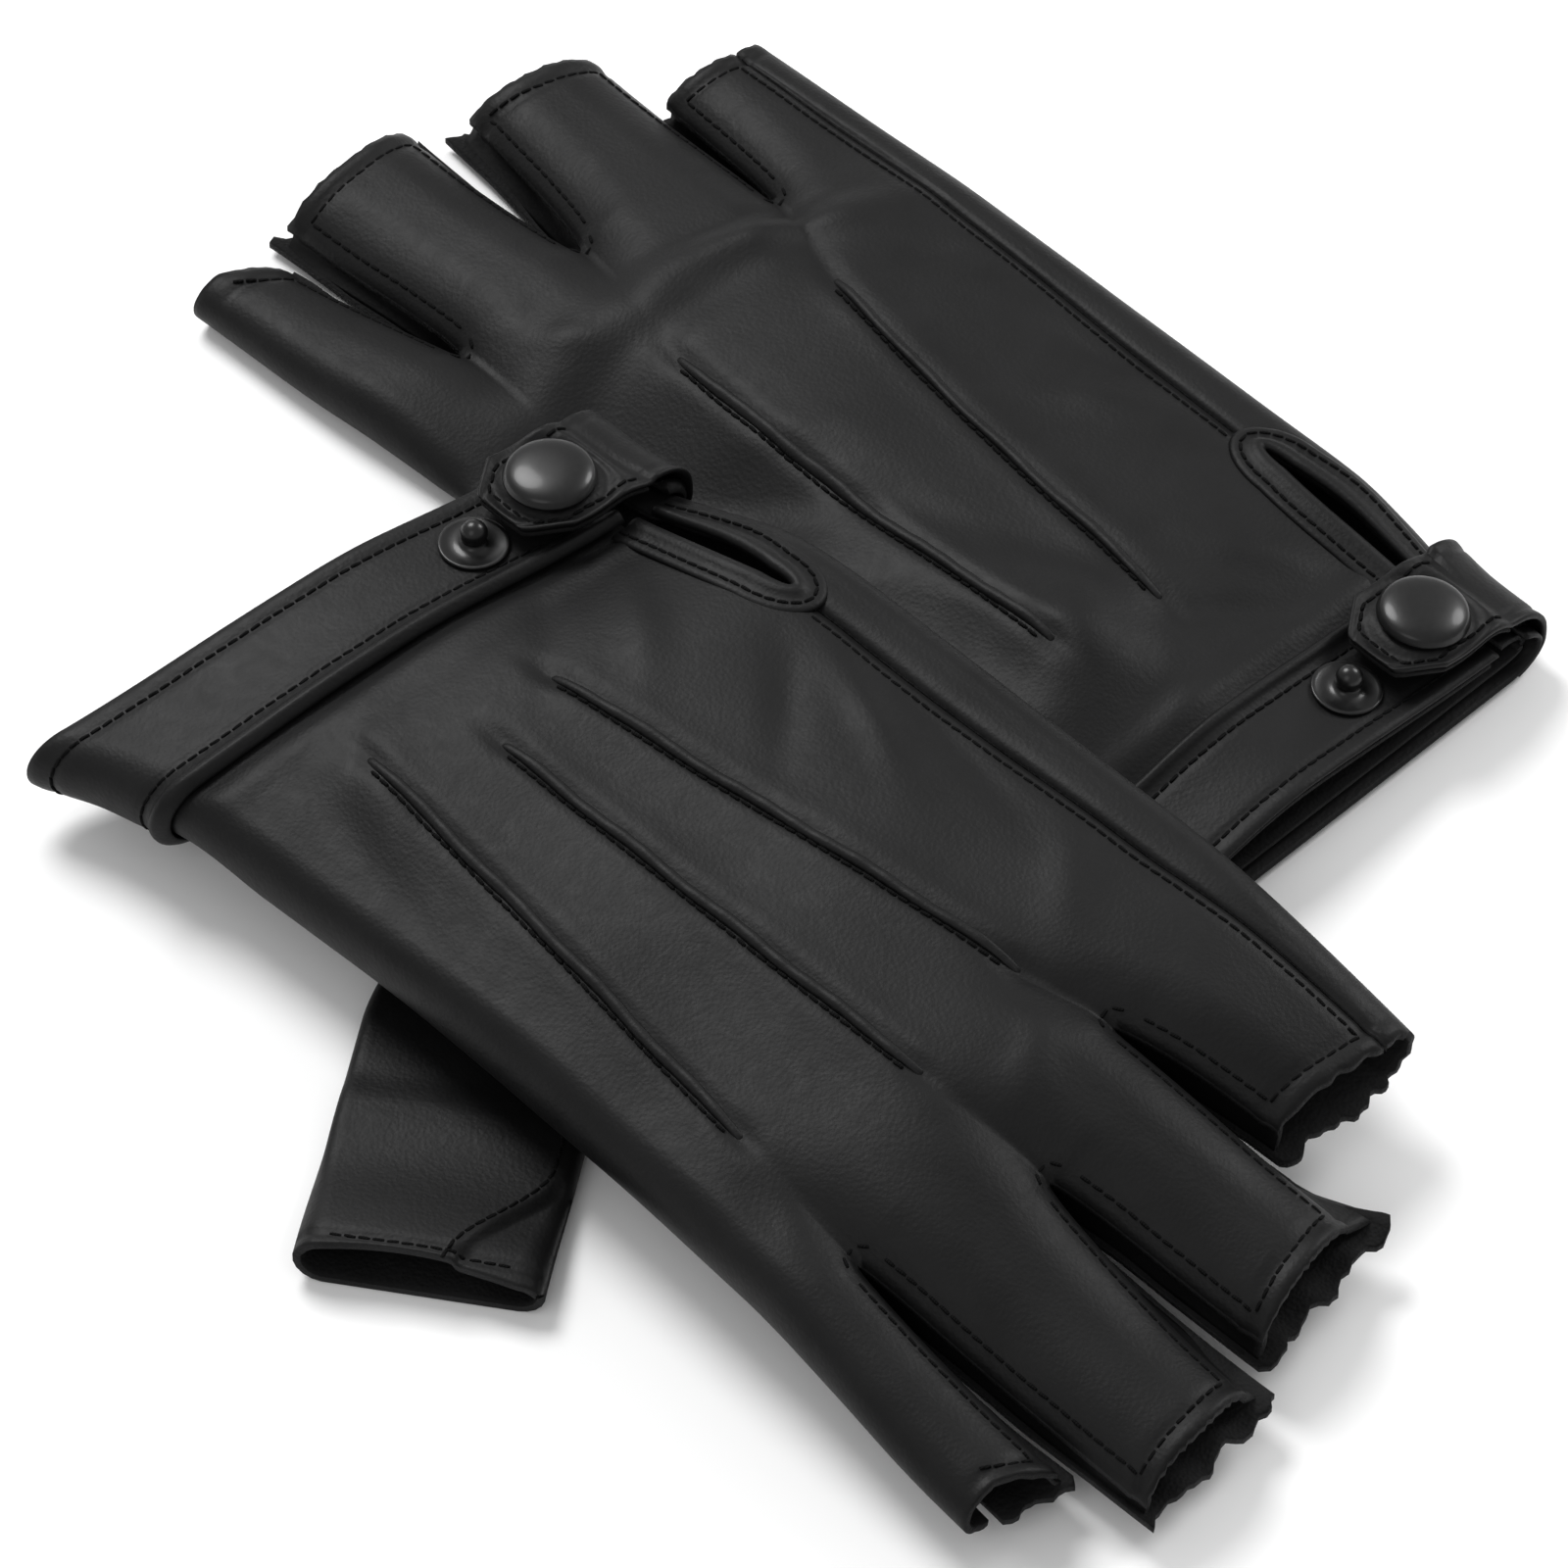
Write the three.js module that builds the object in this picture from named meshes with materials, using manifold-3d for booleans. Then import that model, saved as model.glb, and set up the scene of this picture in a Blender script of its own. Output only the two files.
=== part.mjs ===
// A pair of fingerless leather gloves, lying palm down on a table.
//
// The right glove lies flat with its fingers towards -X. The left glove has its fingers towards +X, and
// its little-finger side rests on the right glove's thumb side. Each glove is a back panel and a palm
// panel, joined by three fourchettes between the fingers, with a set-in thumb, a cuff band with its
// facing, a bound vent slit on the little-finger side, and a closing tab with a snap fastener that takes
// either of two studs.
//
// Lengths are millimetres. A glove is drawn in its own coordinates: u runs from the cuff edge to the
// fingertips, v from the little-finger side to the thumb side, and w up from the palm's underside.
import * as THREE from "three";
import { mergeVertices } from "three/addons/utils/BufferGeometryUtils.js";
import Module from "manifold-3d";

const wasm = await Module();
wasm.setup();

// Leather
const LEATHER = 1.0; // panels
const STRAP = 0.9; // cuff band and tab
const LINING = 0.8; // facing, tab lining and vent binding
const GAP = 0.3; // between pieces that lie on each other
const BAND_GAP = 0.45; // between the panels and the cuff band

// Glove body
const HALF_WIDTH = 44;
const EDGE = 5; // radius of the rolled long edges
const EDGE_HEIGHT = 10; // body thickness at the long edges
const TIP_FLATTENING = 1.8; // at the fingertips
const CROWN = 4; // rise of the back above its edges
const VALLEY = 3.2; // dip of the back beside a finger slit
const VALLEY_WIDTH = 9;
const WALL_INSET = 0.6; // fourchette in from the panels' edges
const THUMB_EDGE = through([
  [0, 93], [8, 89.5], [25, 87], [54, 85.5], [84, 85.5], [114, 86.5], [142, 88.5], [170, 90],
]);

// Cuff
const BAND_WIDTH = 17;
const BAND_MIDDLE = 9; // a row of points that the band, its facing and the panels share
const PANEL_START = 2; // panels begin inside the band
const CUFF_RISE = 1.4; // the palm turns up so that the band stays off the table
const VENT_END = 45;
const VENT_WIDTH = 5.2;
const VENT_TAPER = 27; // the slit narrows from here to its end
const VENT_CLOSING = 3.6; // how far the closed tab draws the slit together at the cuff
const BINDING_WIDTH = 2;

// Closing tab and snap fastener
const SNAP_U = 8.5;
const SNAP_V = 18; // stud that the tab is fastened on
const STUD_PITCH = 13.5;
const TAB_TIP = 27;
const TAB_ROOT = 4.3;
const TAB_CHAMFER = 5.5;
const TAB_TAPER = 0.72; // how fast the tip narrows past the chamfer's start
const TAB_LOW = 0.5; // height over the band at the root
const TAB_RISE = 2.6; // more height over the snap
const CAP_R = 6.25;
const SOCKET_R = 4.5;
const SOCKET_BORE = 2.4;
const SOCKET_BASE = 1.2; // over the band's top
const FLANGE_R = 4.75;
const STUD_HEAD_R = 1.9;
const STUD_NECK_R = 1.5;
const STUD_SHANK = 4.4; // through the band, the back panel and the facing
const RIVET_R = 4;
const RIVET_THICKNESS = 0.6;
const SHANK_R = 1.3;
const SHANK_HOLE = 1.9;
const ROUND = 18; // segments of a turned part

// Thumb
const THUMB_HALF_WIDTH = 16;
const THUMB_HEIGHT = 7.9;
const THUMB_BASE_HEIGHT = 3.2;
const THUMB_REACH = 29.5; // mouth beyond the palm's edge, along the thumb
const THUMB_ROOT = 37; // lower layer inside the palm's edge, along the thumb
const THUMB_HOLE = 24.5; // centre of the palm's hole inside the edge, along the thumb
const THUMB_HOLE_R = 10.5;
const THUMB_ROOT_HALF_WIDTH = 11;
const PROP_REACH = 16; // round the thumb, where the palm comes down to rest

const step = (from, to, x) => THREE.MathUtils.smoothstep(x, from, to);
const mix = THREE.MathUtils.lerp;
const rad = THREE.MathUtils.degToRad;

// Smooth curve v(u) through a few points, straight beyond its ends.
function through(points) {
  const last = points.length - 1;
  const slope = points.map((_, i) => {
    const [a, b] = [points[Math.max(i - 1, 0)], points[Math.min(i + 1, last)]];
    return (b[1] - a[1]) / (b[0] - a[0]);
  });
  return (u) => {
    if (u <= points[0][0]) return points[0][1] + slope[0] * (u - points[0][0]);
    if (u >= points[last][0]) return points[last][1] + slope[last] * (u - points[last][0]);
    const i = points.findIndex((p, k) => k < last && u < points[k + 1][0]);
    const h = points[i + 1][0] - points[i][0];
    const t = (u - points[i][0]) / h;
    const rise = points[i + 1][1] - points[i][1];
    const [a, b] = [slope[i] * h - rise, rise - slope[i + 1] * h];
    return points[i][1] + rise * t + t * (1 - t) * (a * (1 - t) + b * t);
  };
}

// A slit between two fingers: its middle line runs on as the tuck line down the back of the hand.
// Past the shorter finger's tip, the longer finger's wall spreads further out.
function slit(crotch, tipGap, tipU, line, spread = 0) {
  return { crotch, tipGap, tipU, line: through(line), spread };
}

const RIGHT = {
  side: "right",
  cuffX: 54.5,
  outerY: 87.5,
  along: -1,
  seam: through([[0, 8], [17, 8.6], [48, 9], [100, 7], [126, 6], [152, 5.4]]),
  slits: [
    slit(125.5, 2.5, 152, [[0, 41], [35, 38.5], [104, 29.5], [125.5, 21.5], [152, 18.5]]),
    slit(137.5, 9, 170, [[0, 56], [38, 55.5], [110, 53.5], [137.5, 46.5], [170, 43]]),
    slit(135.5, 6, 168, [[0, 66], [30, 67], [100, 73], [135.5, 70.5], [168, 73.5]]),
  ],
  tips: [[150, 151.5], [164.5, 168.5], [171.5, 170.5], [164.5, 168.5]],
  flare: [0.35, 0.35], // share of a slit's width that the walls of the finger after and before it lean into it
  thumb: { edgeU: 64, angle: 35 },
  skew: 0,
  rest: () => 0,
  // The other glove presses the thumb side flat, most of all under its cuff's corner. The closed tab
  // flattens the outer corner of this glove's own cuff.
  press: (u, v) => {
    const underCorner = 2.4 * step(54, 70, v) * step(72, 86, u) * (1 - step(106, 126, u));
    const byTab = 3 * (1 - step(4, 44, u)) * (1 - step(14, 66, v));
    const byGlove = 5.4 * step(46, 74, v) * (1 - step(112, 140, u)) * mix(0.65, 1, step(10, 30, u));
    return byGlove + underCorner + byTab;
  },
  drawn: { along: 0, across: 0 },
};

const LEFT = {
  side: "left",
  cuffX: -53,
  outerY: 19,
  along: 1,
  seam: through([[0, 9], [17, 9.6], [52, 10.2], [106, 9], [128, 6.8], [148, 5.4]]),
  slits: [
    slit(121, 5, 151, [[0, 44], [34, 42], [109, 33], [121, 29], [151, 24]], 3.2),
    slit(131, 7, 165, [[0, 54], [38, 54], [112, 53], [131, 50], [165, 48.5]]),
    slit(123, 4.4, 164, [[0, 65], [28, 67], [102, 74], [123, 75], [164, 74]]),
  ],
  tips: [[145.5, 144], [159, 163], [167, 169], [159, 156]],
  flare: [0.62, 0.1],
  thumb: { edgeU: 64, angle: 54.6 },
  skew: 9, // the cuff's thumb side is pulled back
  // It leans on the right glove along its outer edge. Its fingers and its cuff's thumb side hang down.
  rest: (u, v) => {
    const tipsHang = 1 - 0.56 * step(112, 172, u);
    const cuffHangs = 1 - 0.6 * (1 - step(-10, 28, u)) * step(40, 92, v);
    const cornerSinks = 2.4 * (1 - step(12, 40, u)) * (1 - step(24, 84, v));
    return mix(13.7, 7, v / (2 * HALF_WIDTH)) * tipsHang * cuffHangs - cornerSinks;
  },
  // The closed tab draws the cuff's outer corner in and flattens it.
  press: (u, v) => 2.6 * (1 - step(12, 48, u)) * (1 - step(10, 70, v)),
  drawn: { along: 2.2, across: 3 },
};

// ---- The glove's surfaces ----

const palmAt = (u) => CUFF_RISE * (1 - step(BAND_WIDTH + 1, 30, u));

function slitGap(s, u) {
  return u <= s.crotch ? 0 : s.tipGap * ((u - s.crotch) / (s.tipU - s.crotch)) ** 0.55;
}

function backAt(g, u, v) {
  const bulge = CROWN - 2 * step(95, 150, u) - (1 - step(8, 30, u));
  const arched = bulge * (1 - ((v - HALF_WIDTH) / HALF_WIDTH) ** 2);
  let w = EDGE_HEIGHT - TIP_FLATTENING * step(110, 165, u) + arched - g.press(u, v);
  for (const s of g.slits) {
    const away = Math.max(Math.abs(v - s.line(u)) - slitGap(s, u) / 2, 0);
    const near = Math.max(1 - away / VALLEY_WIDTH, 0);
    w -= VALLEY * step(s.crotch - 22, s.crotch + 3, u) * near ** 2;
  }
  return w;
}

function ventGap(u) {
  const out = Math.max(u - VENT_TAPER, 0) / (VENT_END - VENT_TAPER);
  return u >= VENT_END ? 0 : VENT_WIDTH * Math.sqrt(1 - out ** 2);
}

const thumbHeight = (s) => mix(THUMB_BASE_HEIGHT, THUMB_HEIGHT, step(8, 27, s));
const thumbHalfWidth = (s) => mix(THUMB_ROOT_HALF_WIDTH, THUMB_HALF_WIDTH, step(-THUMB_ROOT, -10, s));

// The palm's height over the table. The thumb lies under it and lifts it clear.
function lift(g, u, v) {
  const [du, dv] = [u - g.thumb.edgeU, v - THUMB_EDGE(g.thumb.edgeU)];
  const [x, y] = [Math.cos(rad(g.thumb.angle)), Math.sin(rad(g.thumb.angle))];
  const [s, t] = [du * x + dv * y, du * y - dv * x];
  const beside = Math.max(Math.abs(t) - thumbHalfWidth(s) - 1, 0);
  const outside = Math.hypot(beside, Math.max(-THUMB_ROOT - 1 - s, 0));
  const propped = (thumbHeight(s) + 0.7) * (1 - step(0, PROP_REACH, outside));
  return Math.max(g.rest(u, v), propped);
}

// A point of the glove in the pair's frame.
function place(g, u, v, w) {
  const pulled = g.skew * (v / (2 * HALF_WIDTH)) ** 2 * Math.max(1 - u / 70, 0) ** 2;
  const corner = (1 - step(6, 56, u)) * (1 - step(6, 50, v));
  const closed = VENT_CLOSING * (1 - step(8, 36, u)) * (1 - step(3.5, 11.5, v));
  const x = g.cuffX + g.along * (u - pulled + g.drawn.along * corner);
  return new THREE.Vector3(x, g.outerY - v - g.drawn.across * corner - closed, w + lift(g, u, v));
}

const onBack = (g, u, v, off) => place(g, u, v, backAt(g, u, v) + off);
const onPalm = (g, u, v, off) => place(g, u, v, palmAt(u) - off);

// A point on a rolled long edge: angle 90 is its top and -90 its bottom.
function onEdge(g, u, outer, angle, off) {
  const v = outer ? EDGE : THUMB_EDGE(u) - EDGE;
  const [top, bottom] = [backAt(g, u, v), palmAt(u)];
  const across = (EDGE + off) * Math.cos(rad(angle)) * (outer ? -1 : 1);
  return place(g, u, v + across, (top + bottom) / 2 + ((top - bottom) / 2 + off) * Math.sin(rad(angle)));
}

// ---- Solids ----

function solidMesh(positions, triangles) {
  const geometry = new THREE.BufferGeometry();
  const numbers = positions.flatMap((p) => [p.x, p.y, p.z]);
  geometry.setAttribute("position", new THREE.Float32BufferAttribute(numbers, 3));
  let volume = 0;
  for (const [a, b, c] of triangles) volume += positions[a].dot(positions[b].clone().cross(positions[c]));
  geometry.setIndex(triangles.flatMap(([a, b, c]) => (volume < 0 ? [a, c, b] : [a, b, c])));
  return geometry;
}

// A sheet of leather: quads over two skins of points, joined round every free edge.
class Sheet {
  constructor() {
    this.keys = new Map();
    this.outer = [];
    this.inner = [];
    this.quads = [];
  }
  vertex(key, at) {
    if (!this.keys.has(key)) {
      this.keys.set(key, this.outer.length);
      const [outer, inner] = at();
      this.outer.push(outer);
      this.inner.push(inner);
    }
    return this.keys.get(key);
  }
  // columns[i][j] are vertex numbers
  grid(columns) {
    for (let i = 0; i + 1 < columns.length; i++)
      for (let j = 0; j + 1 < columns[i].length; j++)
        this.quads.push([columns[i][j], columns[i + 1][j], columns[i + 1][j + 1], columns[i][j + 1]]);
  }
  geometry() {
    const n = this.outer.length;
    const triangles = [];
    const edges = new Map();
    for (const q of this.quads) {
      triangles.push([q[0], q[1], q[2]], [q[0], q[2], q[3]]);
      triangles.push([q[0] + n, q[2] + n, q[1] + n], [q[0] + n, q[3] + n, q[2] + n]);
      q.forEach((a, i) => {
        const b = q[(i + 1) % 4];
        if (edges.has(b + "_" + a)) edges.delete(b + "_" + a);
        else edges.set(a + "_" + b, [a, b]);
      });
    }
    for (const [a, b] of edges.values()) triangles.push([b, a, a + n], [b, a + n, b + n]);
    return solidMesh([...this.outer, ...this.inner], triangles);
  }
}

function toSolid(geometry) {
  const bare = geometry.index ? geometry.toNonIndexed() : geometry.clone();
  bare.deleteAttribute("normal");
  bare.deleteAttribute("uv");
  const merged = mergeVertices(bare, 1e-3);
  const vertProperties = merged.attributes.position.array;
  const triVerts = new Uint32Array(merged.index.array);
  return new wasm.Manifold(new wasm.Mesh({ numProp: 3, vertProperties, triVerts }));
}

function fromSolid(solid) {
  const { vertProperties, triVerts } = solid.getMesh();
  const geometry = new THREE.BufferGeometry();
  geometry.setAttribute("position", new THREE.BufferAttribute(new Float32Array(vertProperties), 3));
  return geometry.setIndex(new THREE.BufferAttribute(new Uint32Array(triVerts), 1));
}

function cut(geometry, ...tools) {
  return fromSolid(tools.reduce((solid, tool) => solid.subtract(toSolid(tool)), toSolid(geometry)));
}

// ---- Panels ----

// u of the rows of points that both panels share
const PALM_ROWS = [PANEL_START, BAND_MIDDLE, BAND_WIDTH, 23, 29, 35, 40, VENT_END, 54, 65, 77, 90, 103, 112];
const FINGER_STEPS = 3;
const FINGER_COLUMNS = 4;

function bodyRows(g) {
  const crotches = g.slits.map((s) => s.crotch);
  const between = (Math.max(...PALM_ROWS) + Math.min(...crotches)) / 2;
  return [...PALM_ROWS, ...crotches, between].sort((a, b) => a - b);
}

// Rows of u for a finger's column: shared across the hand, then stretched out to the fingertip.
function fingerRows(g, finger, share) {
  const rows = bodyRows(g);
  const from = rows[rows.length - 1];
  const tip = mix(...g.tips[finger], share);
  for (let k = 1; k <= FINGER_STEPS; k++) rows.push(mix(from, tip, k / FINGER_STEPS));
  return rows;
}

// The side of a finger along slit s, on the back (lean 0) or leaning out to the palm.
const before = (g, s, u, lean) => s.line(u) - slitGap(s, u) * (0.5 - (lean ? g.flare[1] : 0));
function after(g, s, u, lean) {
  const spread = s.spread * step(s.tipU - 4, s.tipU + 9, u);
  return s.line(u) + slitGap(s, u) * (0.5 - (lean ? g.flare[0] : 0)) - (lean ? spread : 0);
}

// One finger's columns of vertices, carried down the hand. Neighbours share a column up to their crotch.
function fingerColumns(sheet, g, finger, lean, low, high, at) {
  const columns = [];
  for (let i = 0; i <= FINGER_COLUMNS; i++) {
    const share = i / FINGER_COLUMNS;
    const cornerSlit = i === 0 ? g.slits[finger - 1] : i === FINGER_COLUMNS ? g.slits[finger] : null;
    const column = fingerRows(g, finger, share).map((u, j) => {
      const lo = finger ? after(g, g.slits[finger - 1], u, lean) : low(u);
      const hi = finger < 3 ? before(g, g.slits[finger], u, lean) : high(u);
      const shared = cornerSlit && u <= cornerSlit.crotch;
      const key = shared ? `slit${g.slits.indexOf(cornerSlit)} ${j}` : `finger${finger} ${i} ${j}`;
      return sheet.vertex(key, () => [at(u, mix(lo, hi, share), 0), at(u, mix(lo, hi, share), -LEATHER)]);
    });
    columns.push(column);
  }
  return columns;
}

function backPanel(g) {
  const sheet = new Sheet();
  const low = (u) => g.seam(u) + (GAP + ventGap(u)) / 2;
  const high = (u) => THUMB_EDGE(u) - EDGE;
  const at = (u, v, off) => onBack(g, u, v, off);
  const fingers = [0, 1, 2, 3].map((f) => fingerColumns(sheet, g, f, false, low, high, at));
  const rolled = [55, 25, -5, -35, -62, -80].map((angle) =>
    fingerRows(g, 3, 1).map((u, j) =>
      sheet.vertex(`roll ${angle} ${j}`, () => [0, -LEATHER].map((off) => onEdge(g, u, false, angle, off))),
    ),
  );
  for (const columns of fingers) sheet.grid(columns);
  sheet.grid([fingers[3][FINGER_COLUMNS], ...rolled]);
  return sheet.geometry();
}

function palmPanel(g) {
  const sheet = new Sheet();
  const high = (u) => THUMB_EDGE(u) - EDGE - GAP;
  const at = (u, v, off) => onPalm(g, u, v, off);
  const fingers = [0, 1, 2, 3].map((f) => fingerColumns(sheet, g, f, true, () => EDGE, high, at));
  const rows = fingerRows(g, 0, 0);
  const rolled = [-60, -30, 0, 30, 60, 90].map((angle) =>
    rows.map((u, j) =>
      sheet.vertex(`roll ${angle} ${j}`, () => [0, -LEATHER].map((off) => onEdge(g, u, true, angle, off))),
    ),
  );
  const lip = rows.map((u, j) => {
    const v = Math.max(g.seam(u) - (GAP + ventGap(u)) / 2, EDGE + 0.1);
    return sheet.vertex(`lip ${j}`, () => [onBack(g, u, v, 0), onBack(g, u, v, -LEATHER)]);
  });
  for (const columns of fingers) sheet.grid(columns);
  sheet.grid([lip, ...rolled.reverse(), fingers[0][0]]);
  const axis = thumbAxis(g);
  const hole = new THREE.CylinderGeometry(THUMB_HOLE_R, THUMB_HOLE_R, 8, 24).rotateX(Math.PI / 2);
  hole.translate(...axis.at(-THUMB_HOLE, 0, palmAt(60) + lift(g, ...axis.uv(-THUMB_HOLE))).toArray());
  return cut(sheet.geometry(), hole);
}

// The strip between two fingers: down one finger's side, round the crotch and up the next finger's side.
function fourchette(g, index) {
  const sheet = new Sheet();
  const s = g.slits[index];
  const steps = [1, 0.8, 0.6, 0.42, 0.26, 0.12, 0.03];
  const side = (share, next) => {
    const u = mix(s.crotch, g.tips[next ? index + 1 : index][next ? 0 : 1] - 0.5, share);
    return { u, edge: (lean) => (next ? after(g, s, u, lean) : before(g, s, u, lean)), inward: next ? 1 : -1 };
  };
  const stations = [
    ...steps.map((share) => side(share, false)),
    { u: s.crotch - WALL_INSET, edge: () => s.line(s.crotch), inward: 0 },
    ...steps.map((share) => side(share, true)).reverse(),
  ];
  const columns = stations.map((p, i) =>
    [0, 1, 2].map((level) =>
      sheet.vertex(`${i} ${level}`, () =>
        [WALL_INSET, WALL_INSET + LINING].map((inset) => {
          const u = p.inward ? p.u : s.crotch - inset - 0.4;
          const v = mix(p.edge(true), p.edge(false), level / 2) + p.inward * inset;
          const low = palmAt(u) + LEATHER + GAP;
          const high = backAt(g, u, v) - LEATHER - GAP - 0.2;
          return place(g, u, v, mix(low, high, level / 2));
        }),
      ),
    ),
  );
  sheet.grid(columns);
  return sheet.geometry();
}

// ---- Thumb ----

// The thumb's axis over the table: s runs out past the palm's edge, t across it.
function thumbAxis(g) {
  const direction = new THREE.Vector2(Math.cos(rad(g.thumb.angle)), Math.sin(rad(g.thumb.angle)));
  const uv = (s, t = 0) => [
    g.thumb.edgeU + direction.x * s + direction.y * t,
    THUMB_EDGE(g.thumb.edgeU) + direction.y * s - direction.x * t,
  ];
  const at = (s, t, z) => {
    const [u, v] = uv(s, t);
    return new THREE.Vector3(g.cuffX + g.along * u, g.outerY - v, z);
  };
  return { uv, at };
}

// A flattened tube, low under the palm and fuller at its mouth. Its upper layer stops at the palm's hole,
// and its lower layer runs on beneath the hole.
function thumb(g) {
  const sheet = new Sheet();
  const axis = thumbAxis(g);
  const rings = 9;
  const flat = 5;
  const turn = 4;
  const around = [];
  for (let i = 0; i <= flat; i++) around.push({ t: mix(1, -1, i / flat), angle: 90 });
  for (let i = 1; i < turn; i++) around.push({ t: -1, angle: mix(90, 270, i / turn) });
  for (let i = 0; i <= flat; i++) around.push({ t: mix(-1, 1, i / flat), angle: 270 });
  for (let i = 1; i < turn; i++) around.push({ t: 1, angle: mix(-90, 90, i / turn) });
  const columns = around.map(({ t, angle }, i) => {
    const upper = (1 + Math.sin(rad(angle))) / 2;
    const from = mix(-THUMB_ROOT, -THUMB_HOLE + THUMB_HOLE_R - 2, upper);
    return Array.from({ length: rings }, (_, j) =>
      sheet.vertex(`${i} ${j}`, () =>
        [0, -LEATHER].map((off) => {
          const s = mix(from, THUMB_REACH, j / (rings - 1));
          const height = thumbHeight(s);
          const width = thumbHalfWidth(s) - height / 2;
          const across = t * width + (height / 2 + off) * Math.cos(rad(angle));
          return axis.at(s, across, height / 2 + (height / 2 + off) * Math.sin(rad(angle)));
        }),
      ),
    );
  });
  sheet.grid([...columns, columns[0]]);
  return sheet.geometry();
}

// ---- Cuff ----

// A strip round the cuff, from the vent's inner side over the back, round the thumb side, under the palm
// and up round the little-finger side.
function cuffStrip(g, uFrom, offOuter, offInner, endAngle) {
  const sheet = new Sheet();
  const rows = [uFrom, BAND_MIDDLE, BAND_WIDTH];
  const line = [];
  const count = 16;
  const start = (u) => g.seam(u) + ventGap(u) / 2 + 0.7;
  for (let i = 0; i < count; i++)
    line.push((u, off) => onBack(g, u, mix(start(u), THUMB_EDGE(u) - EDGE, i / count), off));
  for (const angle of [90, 60, 30, 0, -30, -60]) line.push((u, off) => onEdge(g, u, false, angle, off));
  for (let i = 0; i < count; i++)
    line.push((u, off) => onPalm(g, u, mix(THUMB_EDGE(u) - EDGE, EDGE, i / count), off));
  for (const angle of [-90, -60, -30, 0, 30, 60].filter((a) => a < endAngle).concat(endAngle))
    line.push((u, off) => onEdge(g, u, true, angle, off));
  sheet.grid(
    line.map((at, i) =>
      rows.map((u, j) => sheet.vertex(`${i} ${j}`, () => [at(u, offOuter), at(u, offInner)])),
    ),
  );
  return sheet.geometry();
}

// The binding laid round the vent slit's edge, in a hairpin.
function ventBinding(g) {
  const sheet = new Sheet();
  const along = [BAND_WIDTH + 1, 23, 29, 34, 38.5, 41.5, 43.5];
  const stations = [
    ...along.map((u) => ({ u, side: 1 })),
    { u: VENT_END + 0.8, side: 0.55 },
    { u: VENT_END + 1.4, side: 0 },
    { u: VENT_END + 0.8, side: -0.55 },
    ...[...along].reverse().map((u) => ({ u, side: -1 })),
  ];
  const columns = stations.map((p, i) =>
    [0, 1].map((outward) =>
      sheet.vertex(`${i} ${outward}`, () =>
        [GAP + LINING, GAP].map((off) => {
          const u = p.u + outward * BINDING_WIDTH * (1 - Math.abs(p.side)) ** 0.7;
          const across = ventGap(Math.min(p.u, VENT_END)) / 2 + 0.4 + outward * BINDING_WIDTH;
          const room = g.seam(u) - EDGE + 0.1;
          return onBack(g, u, g.seam(u) + p.side * (p.side > 0 ? across : Math.min(across, room)), off);
        }),
      ),
    ),
  );
  sheet.grid(columns);
  return sheet.geometry();
}

// ---- Closing tab and snap ----

const bandTop = (g, u, v) => backAt(g, u, v) + BAND_GAP + STRAP;
const tabUnder = (g, u, v) => bandTop(g, SNAP_U, v) + TAB_LOW + TAB_RISE * step(5, 13, v);

function tabLayer(g, low, high, inset) {
  const sheet = new Sheet();
  const stops = [TAB_ROOT, 7, 10, 13, 17, 20.5, TAB_TIP - TAB_CHAMFER, TAB_TIP - inset];
  const columns = stops.map((v, i) => {
    const narrow = Math.max(v - (TAB_TIP - TAB_CHAMFER), 0) * TAB_TAPER;
    const edge = [0.4 + inset + narrow, BAND_WIDTH + 0.2 - inset - narrow];
    return [0, 0.25, 0.5, 0.75, 1].map((share, j) =>
      sheet.vertex(`${i} ${j}`, () => {
        const u = mix(...edge, share);
        return [place(g, u, v, tabUnder(g, u, v) + high), place(g, u, v, tabUnder(g, u, v) + low)];
      }),
    );
  });
  sheet.grid(columns);
  return sheet.geometry();
}

// Puts a turned part, drawn about +Z, on the cuff with its z 0 on the band's top, square to the surface there.
function seat(g, geometry, v) {
  const reach = 2;
  const top = (du, dv) => place(g, SNAP_U + du, v + dv, bandTop(g, SNAP_U + du, v + dv));
  const along = top(reach, 0).sub(top(-reach, 0));
  const across = top(0, reach).sub(top(0, -reach));
  const normal = along.cross(across).normalize();
  if (normal.z < 0) normal.negate();
  const turn = new THREE.Quaternion().setFromUnitVectors(new THREE.Vector3(0, 0, 1), normal);
  return { geometry, turn, spot: top(0, 0) };
}

const turned = (profile) =>
  new THREE.LatheGeometry(profile.map(([r, z]) => new THREE.Vector2(r, z)), ROUND).rotateX(Math.PI / 2);

const baked = ({ geometry, turn, spot }) => geometry.clone().applyQuaternion(turn).translate(...spot.toArray());

const drill = (g, v, r) => baked(seat(g, new THREE.CylinderGeometry(r, r, 16, ROUND).rotateX(Math.PI / 2), v));

const TAB_BASE = TAB_LOW + TAB_RISE; // underside of the tab over the band, at the snap
const CAP_BASE = TAB_BASE + LINING + GAP + STRAP + GAP;

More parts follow.
